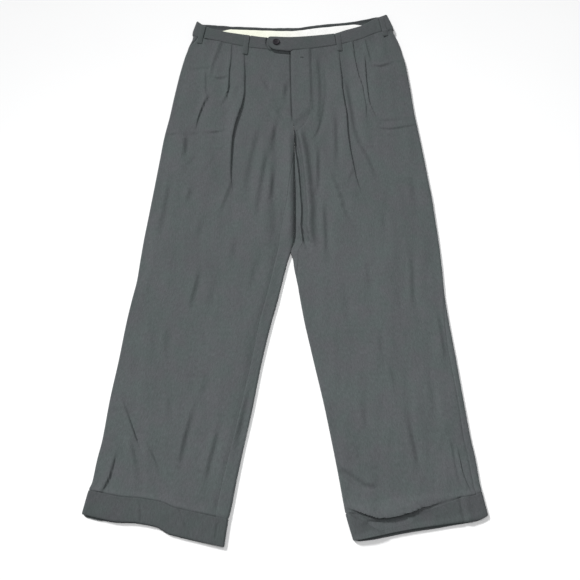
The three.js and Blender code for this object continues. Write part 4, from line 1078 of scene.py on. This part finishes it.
def build_band(side):
    sign = -1 if side == "right" else 1
    s0 = (-217, 977, -207, 1015) if sign < 0 else (231, 990, 216, 1033)
    n_k = 24
    t = np.arange(n_k + 1) / n_k
    k = (t - 0.62 / TAU * np.sin(TAU * t))[:, None]
    kx, ky = lerp(s0[0], s0[2], k), lerp(s0[1], s0[3], k)
    close = [np.linspace(min(p) - 2.5, max(p) + 2.5, 28) for p in PRESS[side]]
    if sign < 0:
        close.append(np.linspace(-54, -36, 24))
        fronts = np.unique(np.round(np.concatenate([np.linspace(1.7, -201, 112)] + close), 2))[::-1]
    else:
        fronts = np.unique(np.round(np.concatenate([np.linspace(6, 212, 112)] + close), 2))
    fold = np.linspace(0, math.pi, 19)
    tb = np.linspace(0.03, 1, 60)
    foldx = kx - sign * (BAND_RADIUS + 1.7 * smooth((0.3 - k) / 0.3))
    front_y = lambda x: lerp(through(SEAM_FRONT, x) + GAP, through(TOP_FRONT, x), k)
    back_y = lambda x: lerp(through(SEAM_BACK, x) + GAP, through(TOP_BACK, x), k)
    # edges of the band are rolled
    height = 36.0
    e0, e1 = k * height, (1 - k) * height
    rolled = 1.2 * np.exp(-((e0 / 1.1) ** 2)) + 1.0 * np.exp(-((e1 / 1.0) ** 2))
    crown = 0.35 * np.sin(math.pi * k)

    def layer(off, rolling):
        rad = BAND_RADIUS + off - rolling
        X, Y, Z = [], [], []
        if sign > 0:
            tx = np.concatenate([-50 + 8 * np.linspace(0, 1, 14) ** 1.8, np.linspace(-42, 4.5, 28)[1:]])
            p = np.array(TAB)
            low, high = through(p[:, :2], tx), through(p[:, [0, 2]], tx)
            tip = np.sqrt(np.clip(1 - ((np.minimum(tx, -38) + 38) / 12.0) ** 2, 0, 1))
            X.append(np.broadcast_to(tx, (n_k + 1, len(tx))))
            Y.append(low + (high - low) * k)
            lift = TAB_RISE + 0.7 * smooth((-38 - tx) / 12) + 1.5 * (1 - k) ** 2 * smooth((0 - tx) / 16)
            edge = 0.8 * np.exp(-(((tx + 50) / 0.8) ** 2))
            Z.append(FRONT_Z + off - rolling + crown * (0.6 + 0.4 * smooth((tx + 30) / 30)) + lift - edge)
        x = fronts[None]
        X.append(np.broadcast_to(x, (n_k + 1, len(fronts))))
        ease = smooth((np.abs(x - foldx) + 0) / 30)
        Y.append(front_y(x) + 0 * k)
        raise_ = (TAB_RISE * smooth((64 - x) / 56)) if sign > 0 else 0
        lump = 0.30 * noise(x, 0 * x, 131 + sign, 24, 50) + 0.12 * noise(x + 0 * k, front_y(x), 135, 9, 14)
        # the cloth is pressed in beside each belt loop
        press = sum(np.exp(-(((x - lerp(p[0], p[1], k)) / 0.95) ** 2)) for p in PRESS[side])
        if sign < 0:
            press = press + 1.5 * np.exp(-((line_gap(x + 0 * k, front_y(x), TAB_END) / 2.1) ** 2))
        Z.append(FRONT_Z + off - rolling + crown + raise_ + lump * smooth((np.abs(x) - 6) / 60) - 2.0 * press + 0 * k)
        # side fold
        ph = fold[None]
        near = lerp(front_y(foldx), back_y(foldx), (1 - np.cos(ph)) / 2)
        X.append(foldx + sign * rad * np.sin(ph))
        Y.append(lerp(near, ky + GAP * (k < 0.01), np.sin(ph)))
        Z.append(BAND_LIFT + BAND_RADIUS + rad * np.cos(ph) + crown * np.maximum(np.cos(ph), 0))
        xb = lerp(foldx, sign * 0.03, tb[None])
        X.append(xb + 0 * k)
        away = smooth(np.abs(xb - foldx) / 24)
        Y.append(back_y(xb) + away * smooth((k - 0.7) / 0.3) * (0.9 * noise(xb, 0 * xb, 171, 22, 40) + 0.5 * noise(xb, 0 * xb, 172, 8, 40)))
        Z.append(BAND_LIFT - off + rolling * 0.6 + away * 3.8 * smooth((k - 0.84) / 0.13))
        return np.stack([np.concatenate(g, 1) for g in (X, Y, Z)], -1)

    outer = layer(0.0, rolled)
    inner = layer(-BAND, -0.5 * rolled * 0.4)
    # the inner face of the band keeps clear of the rolled outer one
    C = outer.shape[1]
    pad = (C - 1) % 2
    if pad:
        outer, inner = np.delete(outer, -4, 1), np.delete(inner, -4, 1)
    wave = 0.35 * noise(outer[..., 0], 0 * outer[..., 0], 151, 30, 30)
    d = np.linalg.norm(np.diff(outer[n_k // 2], axis=0), axis=1)
    s = np.concatenate([[0], np.cumsum(d)])
    uv = np.stack([np.broadcast_to(k * height * 0.001, outer.shape[:2]), np.broadcast_to(s * 0.001, outer.shape[:2])], -1)
    flat = flat_cut(outer[..., 0].T, outer[..., 1].T, outer[..., 2].T)
    ob = shell(f"waistband_{side}_cloth", outer, inner[::2, ::2], 2, 2, uv=uv, material=M_BAND_PAINTED_SHADE)
    finish_piece(ob, "suiting", [f"waistband_{side}"], flat, rests=["floor", f"front_{side}_cloth"])
    return outer


def build_lining():
    x = np.linspace(-203, 211, 211)[None]
    t = np.arange(13)[:, None] / 12
    z0 = BAND_LIFT + BAND + GAP
    wave = 0.7 * noise(x, 0 * x, 161, 26, 40) + 0.4 * noise(x, 0 * x, 162, 9, 40)
    ends = 9.0 * smooth((np.abs(x - 5) - 130) / 36)      # its ends sink behind the front
    y = lerp(through(SEAM_BACK, x) + 3, through(TOP_BACK, x) - 5.4 + wave - ends, t)
    ripple = 0.25 * noise(x, y, 163, 14, 40) + 0.3 * np.sin(math.pi * t)
    edge = 0.6 * (np.exp(-((t * 30 / 0.9) ** 2)) + np.exp(-(((1 - t) * 30 / 0.9) ** 2)))
    X = np.broadcast_to(x, y.shape)
    outer = np.stack([X, y, z0 + 1.1 + ripple - edge], -1)
    inner = np.stack([X, y, np.full(y.shape, z0)], -1)
    uv = np.stack([X * 0.001, t * 0.03 + 0 * X], -1)
    flat = flat_cut(*outer.transpose(2, 0, 1))
    ob = shell("waistband_lining_cloth", outer, inner[::2, ::2], 2, 2, uv=uv, material=M_LINING)
    finish_piece(ob, "lining", ["waistband_lining"], (max(flat[0], 0.42), flat[1], flat[2]), rests=["waistband_right_cloth", "waistband_left_cloth"])


# ------------------------------------------------------------------ belt loops
def tube(points, radius, sides=6):
    """verts and quads of a closed tube along points, mm."""
    p = np.asarray(points, float)
    d = np.gradient(p, axis=0)
    d /= np.linalg.norm(d, axis=1, keepdims=True) + 1e-12
    up = np.where(np.abs(d[:, 2:3]) > 0.9, [[1.0, 0, 0]], [[0, 0, 1.0]])
    b = np.cross(d, up)
    b /= np.linalg.norm(b, axis=1, keepdims=True)
    c = np.cross(b, d)
    ang = np.arange(sides) / sides * TAU
    rr = np.full(len(p), radius)
    rr[0] = rr[-1] = radius * 0.45
    ring = p[:, None] + rr[:, None, None] * (np.cos(ang)[None, :, None] * b[:, None] + np.sin(ang)[None, :, None] * c[:, None])
    n = len(p)
    verts = ring.reshape(-1, 3)
    quads = [(i * sides + j, i * sides + (j + 1) % sides, (i + 1) * sides + (j + 1) % sides, (i + 1) * sides + j)
             for i in range(n - 1) for j in range(sides)]
    ends = [tuple(range(sides))[::-1], tuple((n - 1) * sides + j for j in range(sides))]
    tris = []
    for e in ends:
        tris += [(e[0], e[k], e[k + 1]) for k in range(1, sides - 1)]
    return verts, quads, tris


def join_tubes(name, lines, radius, material, sides=5):
    V, Q, T, n = [], [], [], 0
    for line in lines:
        v, q, t = tube(line, radius, sides)
        V.append(v)
        Q += [[i + n for i in f] for f in q]
        T += [[i + n for i in f] for f in t]
        n += len(v)
    ob = make_mesh(name, to_frame(np.concatenate(V)), Q, T, material=material, sharp=80)
    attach(ob, "root")
    return ob


SURFACE = {}


def height_on(x, y, left):
    """Height of the cloth already laid at points (x, y)."""
    x, y = np.broadcast_arrays(np.asarray(x, float), np.asarray(y, float))
    shape = x.shape
    x, y = x.ravel(), y.ravel()
    cloud = SURFACE["left" if left else "right"]
    cloud = cloud[(cloud[:, 0] > x.min() - 6) & (cloud[:, 0] < x.max() + 6) & (cloud[:, 1] > y.min() - 6) & (cloud[:, 1] < y.max() + 6)]
    out = np.empty(len(x))
    for part in np.array_split(np.arange(len(x)), max(1, len(x) * len(cloud) // 4000000 + 1)):
        far = (x[part, None] - cloud[:, 0]) ** 2 + (y[part, None] - cloud[:, 1]) ** 2
        near = far.argmin(1)
        touch = np.where(far < 3.0, cloud[:, 2], -9.0).max(1)
        out[part] = np.where(touch > 0, touch, cloud[near, 2])
    return out.reshape(shape)


def build_loop(name, top, bottom, under=False, foot=0.0):
    """A narrow folded strip over the band, tacked down at both ends, its edges stitched."""
    n, m = 40, 14
    t = np.arange(n + 1)[:, None] / n
    w = (np.arange(m + 1)[None] / m - 0.5)
    w = 0.5 * np.sign(w) * (np.abs(w) * 2) ** 0.8 * 1.0
    dirv = np.array(bottom, float) - np.array(top, float)
    dirv /= np.linalg.norm(dirv)
    sidev = np.array([-dirv[1], dirv[0]])
    cx, cy = lerp(top[0], bottom[0], t), lerp(top[1], bottom[1], t)
    half = LOOP_WIDTH
    width = half * (1 - 0.05 * np.sin(math.pi * t))
    X, Y = cx + sidev[0] * w * width, cy + sidev[1] * w * width
    if under:
        base = np.full(X.shape, FLOOR_CLEAR)
        thick = 1.25 - 0.35 * np.exp(-(((0.5 - np.abs(w)) * half / 0.8) ** 2))
        outer_z, inner_z = base + 0 * w, base + thick
    else:
        rest = height_on(X, Y, top[0] > 0)
        rest = np.broadcast_to(rest.max(1, keepdims=True) * 0.55 + rest * 0.45, X.shape)
        soft_rest = sum(np.pad(rest, ((3, 3), (0, 0)), mode="edge")[k:k + n + 1] for k in range(7)) / 7
        base = np.maximum(soft_rest, rest) + 0.22 + 0.25 * np.sin(math.pi * t) - 0.9 * np.exp(-((t * 45 / 1.6) ** 2))
        crown = 0.85 + 0.25 * np.sin(math.pi * (w + 0.5)) - 0.45 * np.exp(-(((0.5 - np.abs(w)) * half / 0.7) ** 2))
        stitch = 0.16 * np.exp(-(((0.5 - np.abs(w)) * half - 1.9) / 0.45) ** 2)
        ends = 0.5 * (np.exp(-((t * 45 / 1.0) ** 2)) + np.exp(-(((1 - t) * 45 / 1.0) ** 2)))
        outer_z, inner_z = base + crown - stitch - ends, base + 0 * w
    outer, inner = np.stack([X, Y, outer_z], -1), np.stack([X, Y, inner_z], -1)
    uv = np.stack([w * 0.0115 + 0 * t, -t * 0.05 + 0 * w], -1)
    flat = flat_cut(X, Y, 0 * X)
    ob = shell(name + "_cloth", outer, inner[::2, ::2], 2, 2, uv=uv, material=M_BAND_PAINTED_SHADE, sharp=60)
    finish_piece(ob, "suiting", [name], flat, rests=["floor"] if under else ["waistband_right_cloth" if top[0] < 0 else "waistband_left_cloth"])
    return outer


def stitches(path, length, gap, z_of, radius=0.22):
    """Short threads along a line of (x, y), each bowed a little over the cloth."""
    p = np.asarray(path, float)
    seg = np.hypot(*np.diff(p, axis=0).T)
    s = np.concatenate([[0], np.cumsum(seg)])
    out = []
    at = 0.3
    while at + length < s[-1]:
        k = np.linspace(at, at + length, 4)
        x, y = np.interp(k, s, p[:, 0]), np.interp(k, s, p[:, 1])
        bow = np.array([-0.10, 0.12, 0.12, -0.10])
        out.append(np.stack([x, y, z_of(x, y) + bow], 1))
        at += length + gap
    return out


# ------------------------------------------------------------------ button
def build_button():
    cx, cy = BUTTON
    z = FRONT_Z + TAB_RISE + GAP + 0.5
    r = 7.7
    prof = [(0.0, 1.55), (2.2, 1.55), (3.6, 1.6), (4.6, 1.85), (5.4, 2.35), (6.1, 2.72), (6.8, 2.75), (7.35, 2.45), (7.66, 1.95),
            (7.7, 1.35), (7.3, 0.75), (6.2, 0.3), (4.0, 0.05), (0.0, 0.0)]
    p = np.array(prof)
    n = 72
    ang = np.arange(n) / n * TAU
    # four holes: the face is a polar grid, so the holes are short dark wells pressed into it
    rad = np.concatenate([np.linspace(0.35, 3.6, 12), p[3:-1, 0]])
    hgt = np.concatenate([np.full(12, 1.6), p[3:-1, 1]])
    X = cx + rad[:, None] * np.cos(ang)[None]
    Y = cy + rad[:, None] * np.sin(ang)[None]
    Z = np.broadcast_to(hgt[:, None], X.shape).copy()
    for hx, hy in ((1.25, 1.25), (-1.25, 1.25), (-1.25, -1.25), (1.25, -1.25)):
        d = np.hypot(X - cx - hx, Y - cy - hy)
        Z[:12] -= 1.25 * smooth((0.95 - d[:12]) / 0.35)
    verts = np.stack([X, Y, Z + z], -1).reshape(-1, 3)
    m = len(rad)
    top_c = len(verts)
    verts = np.concatenate([verts, [[cx, cy, z + 1.6], [cx, cy, z]]])
    quads = [(i * n + j, (i + 1) * n + j, (i + 1) * n + (j + 1) % n, i * n + (j + 1) % n) for i in range(m - 1) for j in range(n)]
    tris = [(top_c, j, (j + 1) % n) for j in range(n)]
    tris += [(top_c + 1, (m - 1) * n + (j + 1) % n, (m - 1) * n + j) for j in range(n)]
    ob = make_mesh("front_button_resin", to_frame(verts), quads, tris, material=M_BUTTON, sharp=40)
    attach(ob, "root")
    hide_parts("front_button")
    lines = []
    for sx in (-1, 1):
        for d in (-0.25, 0.0, 0.25):
            x = cx + sx * 1.25 + d
            lines.append([(x, cy - 1.25, z + 0.7), (x, cy - 1.1, z + 1.75), (x, cy, z + 2.0), (x, cy + 1.1, z + 1.75), (x, cy + 1.25, z + 0.7)])
    join_tubes("front_button_thread", lines, 0.16, M_DARK_THREAD)


# ------------------------------------------------------------------ build
FRONTS = {s: build_front(s) for s in ("right", "left")}
for s in ("right", "left"):
    build_back(s)
    build_facing(s)
    build_cuff(s)
BANDS = {s: build_band(s) for s in ("right", "left")}
build_lining()
for s in ("right", "left"):
    f, b = FRONTS[s]["outer"], BANDS[s]
    below = f.reshape(-1, 3)
    seam = through(SEAM_FRONT, below[:, 0])
    SURFACE[s] = np.concatenate([below[(below[:, 1] > 700) & (below[:, 1] < seam) & (below[:, 2] > 3)], b.reshape(-1, 3)[b.reshape(-1, 3)[:, 2] > 5]])
build_loop("loop_front_right", (-93.6, 973.5), (-98.2, 926), foot=2.6)
build_loop("loop_front_left", (104.6, 979.3), (108.2, 935), foot=2.6)
build_loop("loop_side_right", (-190.6, 1000), (-198.4, 955), foot=1.6)
build_loop("loop_side_left", (202.2, 1022.5), (209.5, 974), foot=1.6)
build_loop("loop_back_right", (-100, 999.5), (-101, 963.5), under=True)
build_loop("loop_back_centre", (0, 996.5), (0, 959), under=True)
build_loop("loop_back_left", (104, 1009.5), (105, 971), under=True)
build_button()

def row_of_stitches(name, path, side, length=2.4, gap=0.9, radius=0.2, material=None):
    lines = stitches(path, length, gap, lambda x, y: height_on(x, y, side == "left") + 0.05)
    return join_tubes(name, lines, radius, material or M_THREAD, sides=4)


def bar(centre, across, side, half=4.5, turns=9, wide=0.7):
    """A bar tack: thread laid to and fro, (centre) in mm, across = direction of the bar."""
    k = np.linspace(-1, 1, turns * 2 + 1)
    d = np.array(across, float) / np.hypot(*across)
    x = centre[0] + d[0] * half * k - d[1] * wide * (np.arange(len(k)) % 2 * 2 - 1)
    y = centre[1] + d[1] * half * k + d[0] * wide * (np.arange(len(k)) % 2 * 2 - 1)
    return np.stack([x, y, height_on(x, y, side == "left") + 0.18], 1)


J_LINE = np.array([(45, 938), (45, 905), (45, 874), (44.6, 842), (44, 811), (42.6, 795), (40, 779), (35.6, 765), (29, 753), (21, 743), (12, 736)], float)
row_of_stitches("fly_stitching_thread", J_LINE, "left")
join_tubes("tacks_left_thread", [bar((26, 917), (1, -0.1), "left", 3.4),
                                 bar((209.6, 973), (0.86, 0.5), "left", 5.0), bar((108.2, 936.5), (1, 0.1), "left", 4.6)], 0.3, M_DARK_THREAD, sides=4)
join_tubes("tacks_right_thread", [bar((-183, 965.8), (1, -0.15), "right", 4.0), bar((-198.2, 956.6), (1, -0.2), "right", 4.8),
                                  bar((-98.1, 927.5), (1, -0.1), "right", 4.6)], 0.3, M_DARK_THREAD, sides=4)
# the buttonhole runs from the button towards the end of the tab
hole = [(x, 954.2 + (0.9 if i % 2 else -0.9)) for i, x in enumerate(np.linspace(-43.5, -24, 40))]
join_tubes("buttonhole_thread", [[(x, y, FRONT_Z + TAB_RISE + 0.32) for x, y in hole]], 0.26, M_DARK_THREAD, sides=4)


def zip_teeth():
    """Small teeth along the closed chain, on the tape below the fly."""
    V, Q, n = [], [], 0
    cx = lambda y: lerp(7, 2, min(max((y - 750) / 189, 0), 1))
    for i, y in enumerate(np.arange(762.0, 909.0, 1.25)):
        s = 1 if i % 2 else -1
        x = cx(y + 12) + s * 0.55
        a, b, z0, z1 = 1.15, 0.45, 3.82, 4.55
        V.append([(x - a, y - b, z0), (x + a, y - b, z0), (x + a, y + b, z0), (x - a, y + b, z0),
                  (x - a, y - b, z1), (x + a, y - b, z1), (x + a, y + b, z1), (x - a, y + b, z1)])
        Q += [[k + n for k in f] for f in ((3, 2, 1, 0), (4, 5, 6, 7), (0, 1, 5, 4), (1, 2, 6, 5), (2, 3, 7, 6), (3, 0, 4, 7))]
        n += 8
    ob = make_mesh("fly_zip_teeth", to_frame(np.array(V, float).reshape(-1, 3)), Q, [], material=M_METAL, sharp=30)
    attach(ob, "root")


zip_teeth()

NODES["fly_zip"].data.materials.clear()
NODES["fly_zip"].data.materials.append(tape_material())
NODES["zip_slider"].data.materials.clear()
NODES["zip_slider"].data.materials.append(M_METAL)

# ------------------------------------------------------------------ floor, light, camera
floor_me = bpy.data.meshes.new("floor")
n = 2
g = 6.0
floor_me.from_pydata([(-g, -g, -0.0004), (g, -g, -0.0004), (g, g, -0.0004), (-g, g, -0.0004)], [], [(0, 1, 2, 3)])
floor = bpy.data.objects.new("floor", floor_me)
bpy.context.scene.collection.objects.link(floor)
mf, ntf, bf = new_material("floor_paper")
pf = node(ntf, "ShaderNodeTexCoord").outputs["Object"]
nf = noise_node(ntf, pf, 3.0, 2.0).outputs["Fac"]
ntf.links.new(mix_colour(ntf, span(ntf, nf, 0.3, 0.7), (0.97, 0.97, 0.97), (0.985, 0.985, 0.985)), bf.inputs["Base Color"])
bf.inputs["Roughness"].default_value = 0.95
bf.inputs["Specular IOR Level"].default_value = 0.1
floor_me.materials.append(mf)

scene = bpy.context.scene
scene.view_settings.view_transform = "Standard"
scene.view_settings.look = "None"
world = bpy.data.worlds.new("studio")
scene.world = world
world.use_nodes = True
bg = world.node_tree.nodes["Background"]
bg.inputs["Color"].default_value = (0.98, 0.99, 1.0, 1)
bg.inputs["Strength"].default_value = 0.25


def area(name, at, target, size, power, colour=(1, 1, 1)):
    light = bpy.data.lights.new(name, "AREA")
    light.shape, light.size, light.energy, light.color = "SQUARE", size, power, colour
    ob = bpy.data.objects.new(name, light)
    ob.location = at
    from mathutils import Vector
    ob.rotation_euler = (Vector(target) - Vector(at)).to_track_quat("-Z", "Y").to_euler()
    scene.collection.objects.link(ob)
    return ob


key = bpy.data.lights.new("key", "SUN")
key.energy, key.angle = 2.65, math.radians(10)
key_ob = bpy.data.objects.new("key", key)
key_ob.rotation_euler = (math.radians(-50), 0.0, math.radians(44))
scene.collection.objects.link(key_ob)
area("over", (0.0, -0.26, 1.4), (0, -0.26, 0), 0.6, 8.0)

cam_data = bpy.data.cameras.new("camera")
cam_data.sensor_width = 36.0
cam_data.lens = 640.0 / 580.0 * 36.0
cam = bpy.data.objects.new("camera", cam_data)
cam.location = (0.0075, -0.482, 1.165)
cam.rotation_euler = (math.radians(18.5), 0.0, 0.0)
cam_data.clip_start, cam_data.clip_end = 0.01, 50.0
scene.collection.objects.link(cam)
scene.camera = cam
